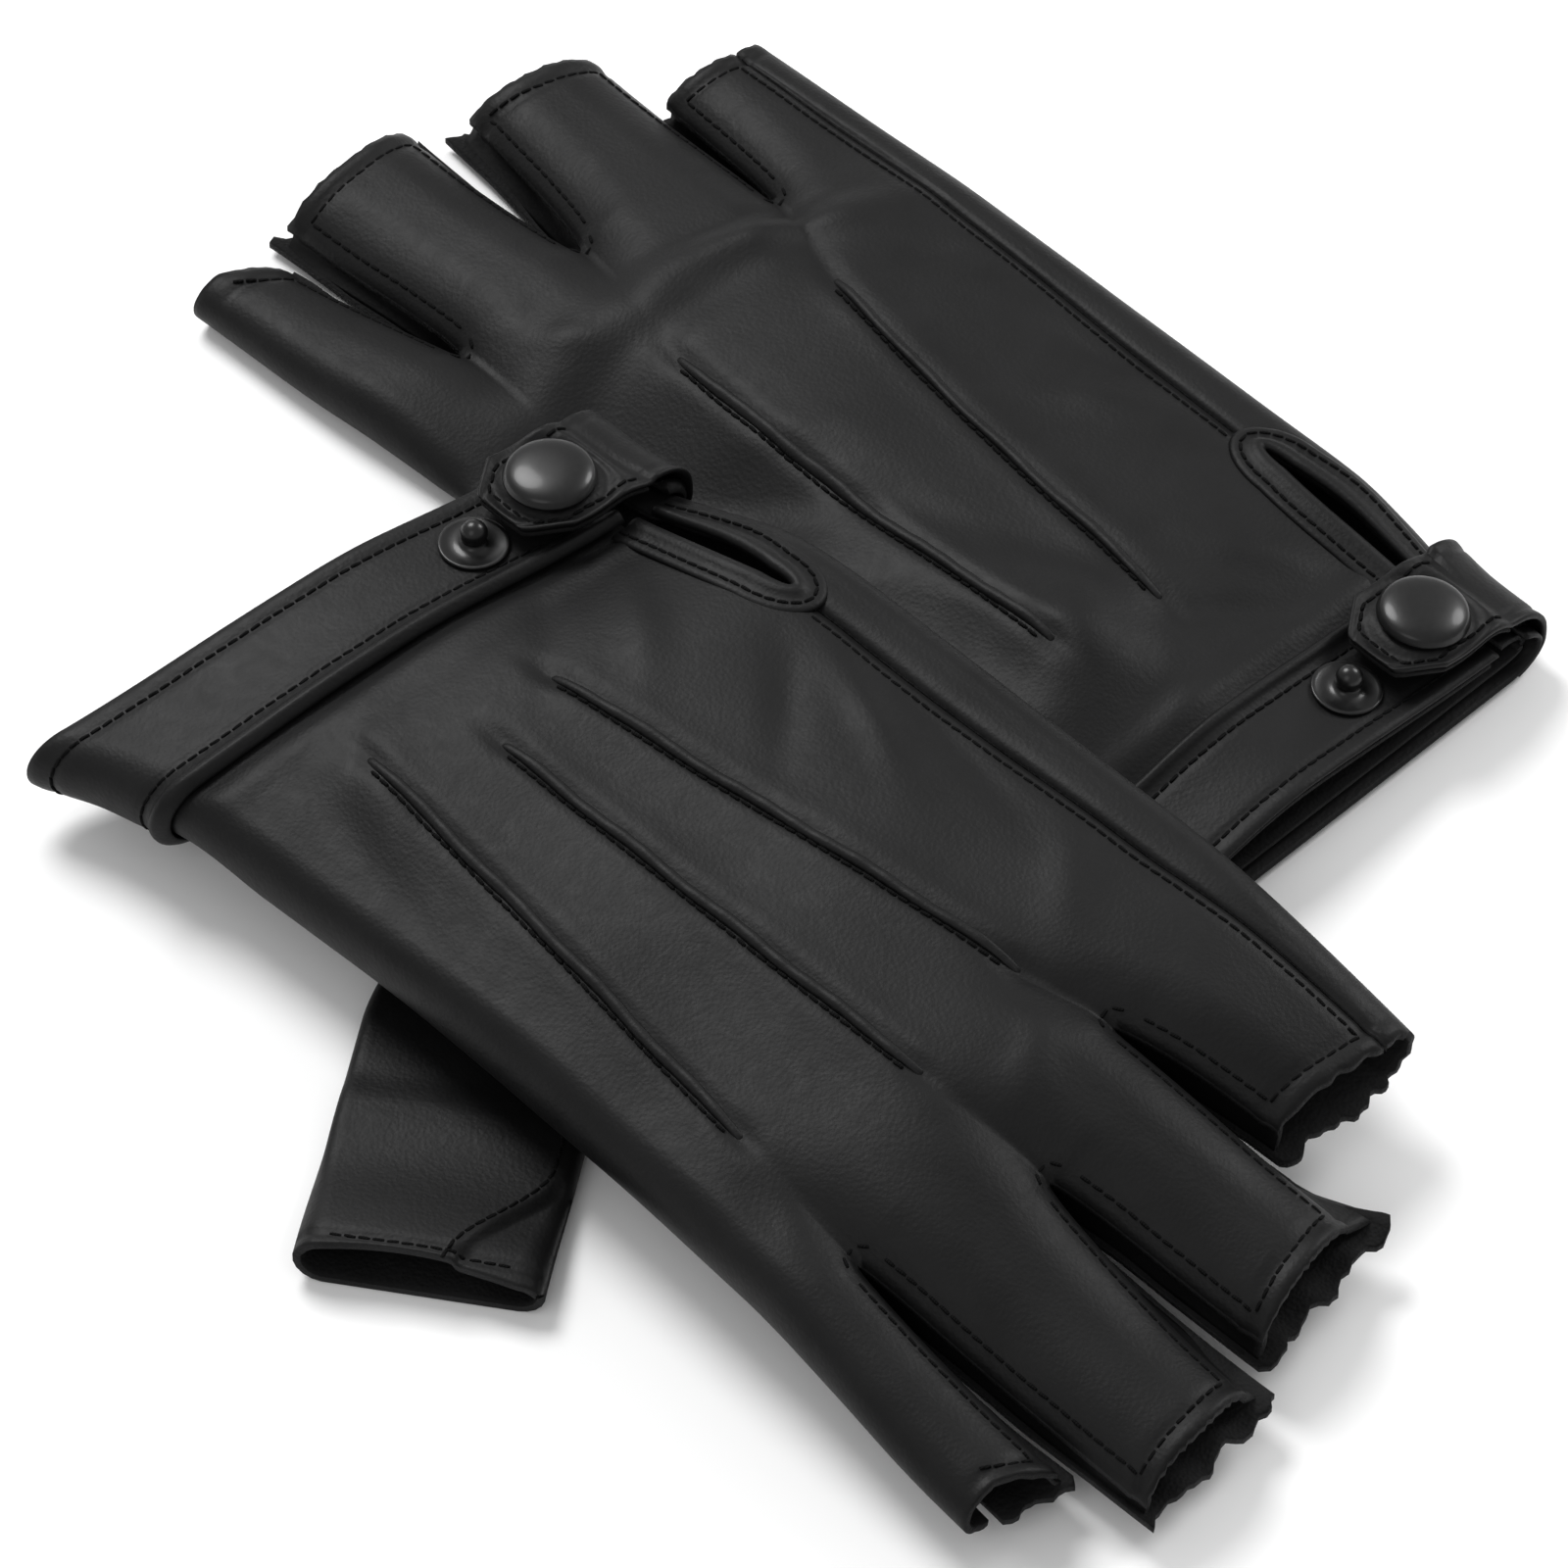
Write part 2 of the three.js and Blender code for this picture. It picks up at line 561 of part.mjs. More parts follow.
// Profiles of (radius, height over the band's top).
const capProfile = () => [
  [0, TAB_BASE - 0.2],
  [SHANK_R, TAB_BASE - 0.2],
  [SHANK_R, CAP_BASE],
  [CAP_R - 0.5, CAP_BASE],
  [CAP_R, CAP_BASE + 0.5],
  [CAP_R - 0.25, CAP_BASE + 1.1],
  [CAP_R - 1.4, CAP_BASE + 1.7],
  [CAP_R - 3.6, CAP_BASE + 2.1],
  [0, CAP_BASE + 2.25],
];
const socketProfile = () => [
  [SOCKET_BORE, SOCKET_BASE],
  [SOCKET_R - 0.4, SOCKET_BASE],
  [SOCKET_R, SOCKET_BASE + 0.4],
  [SOCKET_R, TAB_BASE - GAP],
  [SOCKET_BORE, TAB_BASE - GAP],
  [SOCKET_BORE, SOCKET_BASE],
];
const studProfile = () => [
  [0, -STUD_SHANK],
  [SHANK_R, -STUD_SHANK],
  [SHANK_R, GAP],
  [FLANGE_R, GAP],
  [FLANGE_R, GAP + 0.35],
  [FLANGE_R - 0.9, GAP + 0.6],
  [STUD_NECK_R + 0.9, GAP + 0.6],
  [STUD_NECK_R, 1.3],
  [STUD_HEAD_R, 1.8],
  [STUD_HEAD_R - 0.1, 2.25],
  [0.9, 2.6],
  [0, 2.65],
];
const RIVET_TOP = -(STRAP + BAND_GAP + LEATHER + BAND_GAP + LINING + GAP);
const rivetProfile = () => [
  [SHANK_R + GAP, RIVET_TOP - RIVET_THICKNESS],
  [RIVET_R - 0.3, RIVET_TOP - RIVET_THICKNESS],
  [RIVET_R, RIVET_TOP - RIVET_THICKNESS / 2],
  [RIVET_R, RIVET_TOP],
  [SHANK_R + GAP, RIVET_TOP],
  [SHANK_R + GAP, RIVET_TOP - RIVET_THICKNESS],
];

// ---- Materials ----

const leather = new THREE.MeshStandardMaterial({ color: 0x2a2a2b, roughness: 0.55, metalness: 0 });
const lining = new THREE.MeshStandardMaterial({ color: 0x1c1c1d, roughness: 0.8, metalness: 0 });
const enamel = new THREE.MeshStandardMaterial({ color: 0x141415, roughness: 0.25, metalness: 0.6 });

// ---- Assembly ----

const FOURCHETTES = ["little_ring", "ring_middle", "middle_index"];

function glove(g) {
  const group = new THREE.Group();
  const add = (name, geometry, material) => {
    const mesh = new THREE.Mesh(geometry, material);
    mesh.name = `${g.side}_${name}`;
    group.add(mesh);
    return mesh;
  };
  const addTurned = (name, profile, v) => {
    const { geometry, turn, spot } = seat(g, turned(profile), v);
    const mesh = add(name, geometry, enamel);
    mesh.quaternion.copy(turn);
    mesh.position.copy(spot);
  };
  const studs = { inner: SNAP_V, outer: SNAP_V + STUD_PITCH };
  const holes = Object.values(studs).map((v) => drill(g, v, SHANK_HOLE));
  add("back_panel", cut(backPanel(g), ...holes), leather);
  add("palm_panel", palmPanel(g), leather);
  FOURCHETTES.forEach((name, i) => add(`fourchette_${name}`, fourchette(g, i), leather));
  add("thumb", thumb(g), leather);
  add("cuff_band", cut(cuffStrip(g, 0, BAND_GAP + STRAP, BAND_GAP, 62), ...holes), leather);
  const facingTop = -LEATHER - BAND_GAP;
  add("cuff_facing", cut(cuffStrip(g, PANEL_START, facingTop, facingTop - LINING, 30), ...holes), lining);
  add("vent_binding", ventBinding(g), leather);
  const shankHole = drill(g, SNAP_V, SHANK_R + GAP);
  add("closing_tab", cut(tabLayer(g, LINING + GAP, LINING + GAP + STRAP, 0), shankHole), leather);
  add("tab_lining", cut(tabLayer(g, 0, LINING, 0.3), shankHole), lining);
  addTurned("snap_cap", capProfile(), SNAP_V);
  addTurned("snap_socket", socketProfile(), SNAP_V);
  for (const [name, v] of Object.entries(studs)) {
    addTurned(`stud_${name}`, studProfile(), v);
    addTurned(`stud_rivet_${name}`, rivetProfile(), v);
  }
  return group;
}

const pair = new THREE.Group();
pair.add(glove(RIGHT), glove(LEFT));

// The origin is the middle of the pair's footprint, on the table.
const box = new THREE.Box3().setFromObject(pair);
const middle = box.getCenter(new THREE.Vector3());
pair.position.set(-middle.x, -middle.y, -box.min.z);

export default pair;
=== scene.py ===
import math

import bmesh
import bpy
import numpy as np
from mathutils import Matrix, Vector


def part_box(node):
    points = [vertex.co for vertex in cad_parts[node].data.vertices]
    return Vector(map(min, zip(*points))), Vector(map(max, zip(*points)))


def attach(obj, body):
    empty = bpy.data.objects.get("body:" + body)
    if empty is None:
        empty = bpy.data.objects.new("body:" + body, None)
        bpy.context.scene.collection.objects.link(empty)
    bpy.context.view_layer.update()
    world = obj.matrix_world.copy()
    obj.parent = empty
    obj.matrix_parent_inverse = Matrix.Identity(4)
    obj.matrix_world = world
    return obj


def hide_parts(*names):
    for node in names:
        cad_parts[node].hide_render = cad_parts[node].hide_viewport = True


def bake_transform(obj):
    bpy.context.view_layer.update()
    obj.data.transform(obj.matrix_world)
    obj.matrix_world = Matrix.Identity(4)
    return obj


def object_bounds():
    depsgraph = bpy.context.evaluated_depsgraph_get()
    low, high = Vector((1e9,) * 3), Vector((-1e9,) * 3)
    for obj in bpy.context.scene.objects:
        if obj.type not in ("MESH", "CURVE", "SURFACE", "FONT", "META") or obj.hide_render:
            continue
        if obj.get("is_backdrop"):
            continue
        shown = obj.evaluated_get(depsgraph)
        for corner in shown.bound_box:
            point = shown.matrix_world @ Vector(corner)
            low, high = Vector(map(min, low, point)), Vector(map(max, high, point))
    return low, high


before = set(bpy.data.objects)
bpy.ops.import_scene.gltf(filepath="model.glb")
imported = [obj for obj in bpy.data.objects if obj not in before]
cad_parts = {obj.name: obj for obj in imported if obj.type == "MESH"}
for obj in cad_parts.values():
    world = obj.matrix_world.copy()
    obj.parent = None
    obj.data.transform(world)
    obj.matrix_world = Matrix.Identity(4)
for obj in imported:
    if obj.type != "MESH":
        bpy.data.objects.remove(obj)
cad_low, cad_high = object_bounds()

MM = 0.001

# Leather
LEATHER = 1.0
STRAP = 0.9
LINING = 0.8
GAP = 0.3
BAND_GAP = 0.45
CELL = 0.85  # size of a panel's mesh cell
COLUMNS_U = 120  # where a finger's width sets how many columns of cells it has
OUTER_SIDE = 6  # the back's two sides in v, for that count and for the fingertips' edges
THUMB_SIDE = 86

# Glove body
HALF_WIDTH = 44
EDGE = 5
EDGE_HEIGHT = 10
TIP_FLATTENING = 2.8
CROWN = 4
FLATTER_TIPS = 2  # how much of the crown is lost at the fingertips, and at the cuff
FLATTER_CUFF = 1.8
VALLEY = 3.2
VALLEY_WIDTH = 9
WALL_INSET = 0.6
THUMB_EDGE_POINTS = [
    (0, 93), (8, 89.5), (25, 87), (54, 85.5), (84, 85.5), (114, 86.5), (142, 88.5), (170, 90)]
TIPS_FROM = 138  # the raw fingertip edges lie past this u

# How the left glove lies on the right one, and how far things press the backs down
OUTER_REST = 13.7  # height of the left glove's little-finger side
THUMB_REST = 7  # height of its thumb side
TIPS_HANG = 0.56  # share of that height lost at the fingertips, and at the cuff's thumb side
CUFF_HANGS = 0.6
CORNER_SINKS = 2.4
PRESSED_BY_GLOVE = 5.4
PRESSED_BY_CORNER = 2.4
PRESSED_BY_TAB = {"right": 3, "left": 2.6}

# Cuff, closing tab and snap
BAND_WIDTH = 17
PANEL_START = 2
CUFF_RISE = 2.2
VENT_END = 45
VENT_TAPER = 27
VENT_TURN = 40.0
VENT_CLOSING = 3.6
VENT_WIDTH = 5.2
SNAP_U = 8.5
SNAP_V = 18
STUD_PITCH = 13.5
TAB_TIP = 27
TAB_CHAMFER = 5.5
TAB_LOW = 0.5
TAB_RISE = 2.6
TAB_FOLD = 0.6  # share of the rise that the strap already has at its fold
TAB_DROOP = 1.1
TAB_CLEARANCE = 0.12  # between the strap and the band below the fold
TAB_MIDDLE = SNAP_U + 0.1
TAB_BASE = TAB_LOW + TAB_RISE
CAP_BASE = TAB_BASE + LINING + GAP + STRAP + GAP
CAP_R = 6.25
SOCKET_BORE = 2.4
SOCKET_R = 4.5
STUD_R = 4.5
SHANK_R = 1.3
SHANK_END = -4.4
WASHER_BORE = 1.6
WASHER_R = 4.0
WASHER_THICKNESS = 0.6
TURNED_SIDES = 72

# Thumb
THUMB_HALF_WIDTH = 16
THUMB_HEIGHT = 7.2
THUMB_BASE_HEIGHT = 3.2
THUMB_REACH = 29.5
THUMB_ROOT = 37
THUMB_HOLE = 24.5
THUMB_HOLE_R = 10.5
THUMB_ROOT_HALF_WIDTH = 11
THUMB_TOP = 0.42  # share of the way round that the thumb's top takes, and its underside too
PROP_REACH = 16

# Sewing
STITCH_PITCH = 2.5
STITCH_LENGTH = 1.8
STITCH_WIDTH = 0.5
HEM = 2.7  # stitch line in from a fingertip's raw edge
SIDE_STITCH = 1.7  # stitch line in from a seam or a finger's side
TAB_STITCH = 1.75  # stitch line in from the tab's edge
BAND_STITCHES = (2.6, BAND_WIDTH - 3.6)
LINE_STEP = 0.5


def step(a, b, x):
    t = np.clip((np.asarray(x, float) - a) / (b - a), 0, 1)
    return t * t * (3 - 2 * t)


def mix(a, b, t):
    return a + (b - a) * t


def bell(x, width):
    return np.exp(-(np.asarray(x, float) / width) ** 2)


def through(points):
    """Smooth curve v(u) through a few points, straight beyond its ends."""
    us, vs = np.array(points, float).T
    n = len(us)
    lo, hi = np.maximum(np.arange(n) - 1, 0), np.minimum(np.arange(n) + 1, n - 1)
    slope = (vs[hi] - vs[lo]) / (us[hi] - us[lo])

    def curve(u):
        u = np.asarray(u, float)
        i = np.clip(np.searchsorted(us, u, side="right") - 1, 0, n - 2)
        h = us[i + 1] - us[i]
        t = (u - us[i]) / h
        rise = vs[i + 1] - vs[i]
        a, b = slope[i] * h - rise, rise - slope[i + 1] * h
        inside = vs[i] + rise * t + t * (1 - t) * (a * (1 - t) + b * t)
        before = vs[0] + slope[0] * (u - us[0])
        after = vs[-1] + slope[-1] * (u - us[-1])
        return np.where(u < us[0], before, np.where(u > us[-1], after, inside))

    return curve


thumb_edge = through(THUMB_EDGE_POINTS)


def slit(crotch, tip_gap, tip_u, line, spread=0):
    return {"crotch": crotch, "tip_gap": tip_gap, "tip_u": tip_u, "line": through(line), "spread": spread}


# drawn is how far (along, across) the closed tab draws in the cuff's outer corner. tucks are a ridge's two
# ends in u, below each slit. tips are u at the two ends of each finger's raw edge, the little finger's first.
# flare is the share of a slit's gap that the palm layer fills from its thumb side and from its other side.
# A fold is (u, v) of its two ends, its half width, and its height: below zero it is a crease.
RIGHT = {
    "side": "right", "along": -1, "longest": 171.5, "skew": 0, "drawn": (0, 0),
    "seam": through([(0, 8), (17, 8.6), (48, 9), (100, 7), (126, 6), (152, 5.4)]),
    "slits": [
        slit(125.5, 2.5, 152, [(0, 41), (35, 38.5), (104, 29.5), (125.5, 21.5), (152, 18.5)]),
        slit(137.5, 9, 170, [(0, 56), (38, 55.5), (110, 53.5), (137.5, 46.5), (170, 43)]),
        slit(135.5, 6, 168, [(0, 66), (30, 67), (100, 73), (135.5, 70.5), (168, 73.5)])],
    "tucks": [(35, 106), (38, 111), (30, 101)],
    "tips": [(150, 151.5), (164.5, 168.5), (171.5, 170.5), (164.5, 168.5)],
    "flare": (0.35, 0.35),
    "thumb_u": 64, "thumb_angle": 35,
    "folds": [
        ((112, 15), (123, 46), 2.6, 0.8), ((117, 14), (127, 44), 1.8, -0.6), ((96, 10), (104, 24), 2.4, -0.5),
        ((56, 13), (74, 26), 3.0, 0.55), ((60, 11), (86, 17), 2.2, -0.45), ((22, 17), (40, 30), 3.0, 0.6),
        ((20, 24), (34, 44), 2.6, -0.5), ((120, 58), (128, 66), 2.4, 0.5), ((84, 46), (96, 62), 4.0, 0.5),
        ((22, 46), (46, 60), 4.5, 0.5), ((108, 4), (122, 40), 5.0, 0.9), ((120, 34), (122, 66), 5.5, 1.1),
        ((124, 56), (112, 92), 5.0, 0.9), ((114, 30), (116, 62), 3.5, -0.6)],
}
LEFT = {
    "side": "left", "along": 1, "longest": 169, "skew": 9, "drawn": (2.2, 3),
    "seam": through([(0, 9), (17, 9.6), (52, 10.2), (106, 9), (128, 6.8), (148, 5.4)]),
    "slits": [
        slit(121, 5, 151, [(0, 44), (34, 42), (109, 33), (121, 29), (151, 24)], 3.2),
        slit(131, 7, 165, [(0, 54), (38, 54), (112, 53), (131, 50), (165, 48.5)]),
        slit(123, 4.4, 164, [(0, 65), (28, 67), (102, 74), (123, 75), (164, 74)])],
    "tucks": [(34, 109), (38, 112), (28, 102)],
    "tips": [(145.5, 144), (159, 163), (167, 169), (159, 156)],
    "flare": (0.62, 0.1),
    "thumb_u": 64, "thumb_angle": 54.6,
    "folds": [
        ((54, 14), (78, 24), 2.6, 0.7), ((58, 12), (92, 17), 2.0, -0.5), ((50, 17), (66, 34), 2.6, -0.5),
        ((22, 20), (44, 36), 3.2, 0.7), ((20, 30), (38, 48), 3.0, -0.5), ((22, 62), (44, 80), 4.0, 0.6),
        ((96, 12), (110, 28), 3.4, 0.5), ((116, 36), (122, 48), 3.0, 0.6), ((104, 78), (118, 84), 3.0, -0.5),
        ((22, 74), (60, 83), 2.6, -0.4)],
}
for g in (RIGHT, LEFT):
    low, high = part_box(g["side"] + "_palm_panel")
    tip_x = low[0] if g["along"] < 0 else high[0]
    g["cuff_x"] = tip_x / MM - g["along"] * g["longest"]
    g["outer_y"] = high[1] / MM


# ---- The gloves' surfaces ----

def thumb_height(s):
    return mix(THUMB_BASE_HEIGHT, THUMB_HEIGHT, step(8, 27, s))


def thumb_half_width(s):
    return mix(THUMB_ROOT_HALF_WIDTH, THUMB_HALF_WIDTH, step(-THUMB_ROOT, -10, s))


def rest_height(g, u, v):
    """The height that the glove's underside lies at."""
    if g["side"] == "right":
        return 0 * u * v
    tips = 1 - TIPS_HANG * step(112, 172, u)
    cuff = 1 - CUFF_HANGS * (1 - step(-10, 28, u)) * step(40, 92, v)
    corner = CORNER_SINKS * (1 - step(12, 40, u)) * (1 - step(24, 84, v))
    return mix(OUTER_REST, THUMB_REST, v / (2 * HALF_WIDTH)) * tips * cuff - corner


def pressed(g, u, v):
    """How far the back is pressed down, by its tab and on the right glove by the left one."""
    by_tab = PRESSED_BY_TAB[g["side"]]
    if g["side"] == "left":
        return by_tab * (1 - step(12, 48, u)) * (1 - step(10, 70, v))
    by_tab = by_tab * (1 - step(4, 44, u)) * (1 - step(14, 66, v))
    by_corner = PRESSED_BY_CORNER * step(54, 70, v) * step(72, 86, u) * (1 - step(106, 126, u))
    by_glove = PRESSED_BY_GLOVE * step(46, 74, v) * (1 - step(112, 140, u)) * mix(0.65, 1, step(10, 30, u))
    return by_glove + by_corner + by_tab


def lift(g, u, v):
    du, dv = u - g["thumb_u"], v - thumb_edge(g["thumb_u"])
    a = math.radians(g["thumb_angle"])
    s = du * math.cos(a) + dv * math.sin(a)
    t = du * math.sin(a) - dv * math.cos(a)
    outside = np.hypot(np.maximum(np.abs(t) - thumb_half_width(s) - 1, 0), np.maximum(-THUMB_ROOT - 1 - s, 0))
    propped = (thumb_height(s) + 0.7) * (1 - step(0, PROP_REACH, outside))
    return np.maximum(rest_height(g, u, v), propped)


def palm_at(u):
    return CUFF_RISE * (1 - step(BAND_WIDTH + 1, 30, u))


def slit_gap(s, u):
    out = np.maximum(np.asarray(u, float) - s["crotch"], 0) / (s["tip_u"] - s["crotch"])
    return s["tip_gap"] * out ** 0.55


def back_at(g, u, v):
    bulge = CROWN - FLATTER_TIPS * step(95, 150, u) - FLATTER_CUFF * (1 - step(8, 30, u))
    crown = bulge * (1 - ((v - HALF_WIDTH) / HALF_WIDTH) ** 2)
    w = EDGE_HEIGHT - TIP_FLATTENING * step(110, 165, u) + crown - pressed(g, u, v)
    for s in g["slits"]:
        away = np.maximum(np.abs(v - s["line"](u)) - slit_gap(s, u) / 2, 0)
        near = np.maximum(1 - away / VALLEY_WIDTH, 0)
        w = w - VALLEY * step(s["crotch"] - 22, s["crotch"] + 3, u) * near ** 2
    return w


def vent_gap(u):
    u = np.asarray(u, float)
    tapered = np.maximum(u - VENT_TAPER, 0) / (VENT_END - VENT_TAPER)
    return np.where(u >= VENT_END, 0, VENT_WIDTH * np.sqrt(np.clip(1 - tapered ** 2, 0, 1)))


def place(g, u, v, w):
    u, v = np.asarray(u, float), np.asarray(v, float)
    pulled = g["skew"] * (v / (2 * HALF_WIDTH)) ** 2 * np.maximum(1 - u / 70, 0) ** 2
    corner = (1 - step(6, 56, u)) * (1 - step(6, 50, v))
    x = g["cuff_x"] + g["along"] * (u - pulled + g["drawn"][0] * corner)
    closed = VENT_CLOSING * (1 - step(8, 36, u)) * (1 - step(3.5, 11.5, v))
    y = g["outer_y"] - v - g["drawn"][1] * corner - closed
    return np.stack(np.broadcast_arrays(x, y, w + lift(g, u, v)), -1)


def unevenness(u, v, phase):
    """Low, slow waves of soft leather."""
    waves = [
        (0.13, 0.05, 0.18), (-0.08, 0.13, 0.20), (0.05, 0.20, 0.12), (0.22, -0.12, 0.06), (0.29, 0.26, 0.03)]
    return sum(a * np.sin(ku * u + kv * v + phase * (i + 1)) for i, (ku, kv, a) in enumerate(waves))


def fold(u, v, start, end, width, height):
    a, b = np.array(start, float), np.array(end, float)
    length = np.hypot(*(b - a))
    du, dv = (b - a) / length
    s = ((u - a[0]) * du + (v - a[1]) * dv) / length
    across = -(u - a[0]) * dv + (v - a[1]) * du + 1.2 * np.sin(2.6 * s)
    return height * bell(across, width) * bell(s - 0.5, 0.42)


def tip_at(g, v):
    """The raw edge's u at v, for the finger that v is on near the fingertips."""
    bounds = [0] + [float(s["line"](s["tip_u"])) for s in g["slits"]] + [2 * HALF_WIDTH + 2]
    tip = np.zeros_like(np.asarray(v, float))
    for i, (a, b) in enumerate(g["tips"]):
        share = np.clip((v - bounds[i]) / (bounds[i + 1] - bounds[i]), 0, 1)
        tip = np.where((v >= bounds[i]) & (v <= bounds[i + 1]), mix(a, b, share), tip)
    return tip


def side_distance(g, u, v):
    """Distance from the nearest side of a slit between two fingers."""
    away = np.full(np.broadcast(u, v).shape, 99.0)
    for s in g["slits"]:
        sideways = np.abs(v - s["line"](u)) - slit_gap(s, u) / 2
        short = np.maximum(s["crotch"] - u, 0)
        away = np.minimum(away, np.hypot(np.maximum(sideways, 0), short))
    return away


def relief(g, u, v):
    """What the leather's surface adds to the plain shape of the back."""
    r = unevenness(u, v, 1.7 if g["side"] == "left" else 0.6)
    for start, end, width, height in g["folds"]:
        r = r + fold(u, v, start, end, width, height)
    for s, (u0, u1) in zip(g["slits"], g["tucks"]):
        d = v - s["line"](u)
        along = step(u0 - 8, u0 + 3, u) * (1 - step(u1 - 3, u1 + 8, u))
        r = r + along * (0.55 * bell(d, 3.6) - 0.75 * bell(d, 1.6))
        for end in (u0, u1):
            r = r - 0.35 * bell(np.hypot(u - end, d), 3.0)
    away = side_distance(g, u, v)
    r = r - 0.75 * bell(away, 0.9) - 0.2 * bell(away - SIDE_STITCH, 0.55)
    hem = tip_at(g, v) - u
    near_tip = np.where(u > TIPS_FROM, 1.0, 0.0)
    r = r + near_tip * (0.28 * bell(hem - 1.0, 1.1) - 0.4 * bell(hem - HEM, 0.6))
    seam = np.abs(v - g["seam"](u)) - vent_gap(u) / 2
    r = r - 0.8 * bell(seam, 0.9) - 0.2 * bell(seam - SIDE_STITCH, 0.55)
    return r + 0.5 * bell(u - BAND_WIDTH - 3.2, 2.2) - 0.4 * bell(u - BAND_WIDTH, 1.6)


def on_back(g, u, v, off, detailed=True):
    return place(g, u, v, back_at(g, u, v) + off + (relief(g, u, v) if detailed else 0))


def on_palm(g, u, v, off):
    waves = 0.35 * (1 + unevenness(u, v, 3.1)) * step(30, 44, u) * (1 - step(140, 150, u))
    curl = 0.55 * (1 + np.sin(0.8 * v + u / 9)) * step(146, 162, u)
    return place(g, u, v, palm_at(u) - off + waves + curl)


def on_edge(g, u, outer, angle, off, detailed=False):
    """A point on a rounded side of the glove, where angle goes from 90 on top to -90 underneath."""
    v = EDGE + 0 * u if outer else thumb_edge(u) - EDGE
    a = np.radians(angle)
    top, bottom = back_at(g, u, v), palm_at(u)
    bulge, raised = 0, 0
    if detailed:
        bulge = 0.5 * unevenness(1.3 * u, angle / 7, 2.2) * np.cos(a) ** 2
        raised = relief(g, u, v) * step(15, 90, angle)
    else:
        top = top + band_wave(u, v) * (angle > 0) * np.sin(a)
    across = (EDGE + off + bulge) * np.cos(a) * (-1 if outer else 1)
    return place(g, u, v + across, (top + bottom) / 2 + ((top - bottom) / 2 + off) * np.sin(a) + raised)


def band_wave(u, v):
    return 0.22 * unevenness(0.6 * u, v, 4.4)


# ---- Materials ----

class Material:
    """A material whose textures are laid out in the piece's own space."""

    def __init__(self, name, specular):
        self.made = bpy.data.materials.new(name)
        self.made.use_nodes = True
        self.nodes, self.links = self.made.node_tree.nodes, self.made.node_tree.links
        self.shader = self.nodes["Principled BSDF"].inputs
        self.shader["Specular IOR Level"].default_value = specular

    def node(self, kind, **values):
        n = self.nodes.new(kind)
        for key, value in values.items():
            n.inputs[key].default_value = value
        return n

    def texture(self, kind, **values):
        n = self.node(kind, **values)
        self.links.new(self.node("ShaderNodeTexCoord").outputs["Object"], n.inputs["Vector"])
        return n

    def colour_by(self, source, low, high, dark, light):
        """From dark to light grey, slightly blue, as the source goes from low to high."""
        ramp = self.node("ShaderNodeValToRGB")
        for element, position, tone in zip(ramp.color_ramp.elements, (low, high), (dark, light)):
            element.position = position
            element.color = (tone, tone, tone * 1.03, 1)
        self.links.new(source, ramp.inputs["Fac"])
        self.links.new(ramp.outputs["Color"], self.shader["Base Color"])

    def roughness_by(self, source, low, high):
        span = self.node("ShaderNodeMapRange", **{"To Min": low, "To Max": high})
        self.links.new(source, span.inputs["Value"])
        self.links.new(span.outputs["Result"], self.shader["Roughness"])

    def bumps(self, *layers):
        previous = None
        for source, strength, distance in layers:
            bump = self.node("ShaderNodeBump", Strength=strength, Distance=distance)
            self.links.new(source, bump.inputs["Height"])
            if previous:
                self.links.new(previous.outputs["Normal"], bump.inputs["Normal"])
            previous = bump
        self.links.new(previous.outputs["Normal"], self.shader["Normal"])


def leather_material(name, dark, light, rough, pebble, depth, creasing):
    """Fine pebbled grain, with slow tone changes and faint creases."""
    m = Material(name, 0.17)
    cells = m.texture("ShaderNodeTexVoronoi", Scale=pebble, Randomness=0.95)
    cells.feature = "SMOOTH_F1"
    cells.inputs["Smoothness"].default_value = 0.6
    fine = m.texture("ShaderNodeTexNoise", Scale=pebble * 2.4, Detail=3.0).outputs["Fac"]
    tone = m.texture("ShaderNodeTexNoise", Scale=70.0, Detail=4.0, Roughness=0.6).outputs["Fac"]
    crease = m.texture(
        "ShaderNodeTexNoise", Scale=240.0, Detail=5.0, Roughness=0.62, Distortion=1.2).outputs["Fac"]
    m.colour_by(tone, 0.3, 0.72, dark, light)
    m.roughness_by(crease, rough - 0.09, rough + 0.10)
    m.bumps((crease, creasing, 0.00035), (cells.outputs["Distance"], depth, 0.00018), (fine, 0.25, 0.00008))
    return m.made


def thread_material():
    m = Material("sewing_thread", 0.08)
    twist = m.texture("ShaderNodeTexWave", Scale=900.0, Distortion=1.5).outputs["Fac"]
    m.colour_by(twist, 0.2, 0.8, 0.001, 0.004)
    m.bumps((twist, 0.4, 0.0001))
    m.shader["Roughness"].default_value = 0.8
    return m.made


def enamel_material():
    m = Material("snap_enamel", 0.3)
    haze = m.texture("ShaderNodeTexNoise", Scale=1500.0, Detail=3.0).outputs["Fac"]
    m.colour_by(haze, 0.35, 0.7, 0.002, 0.004)
    m.roughness_by(haze, 0.33, 0.36)
    m.shader["Coat Weight"].default_value = 0.15
    m.shader["Coat Roughness"].default_value = 0.12
    return m.made


SKIN = leather_material("black_grain_leather", 0.0024, 0.0058, 0.50, 1700.0, 0.20, 0.06)
FLESH = leather_material("leather_flesh_side", 0.004, 0.010, 0.85, 1900.0, 0.8, 0.2)
RAW = leather_material("raw_leather_edge", 0.008, 0.022, 0.8, 2400.0, 0.9, 0.3)
THREAD = thread_material()
ENAMEL = enamel_material()


# ---- Mesh making ----

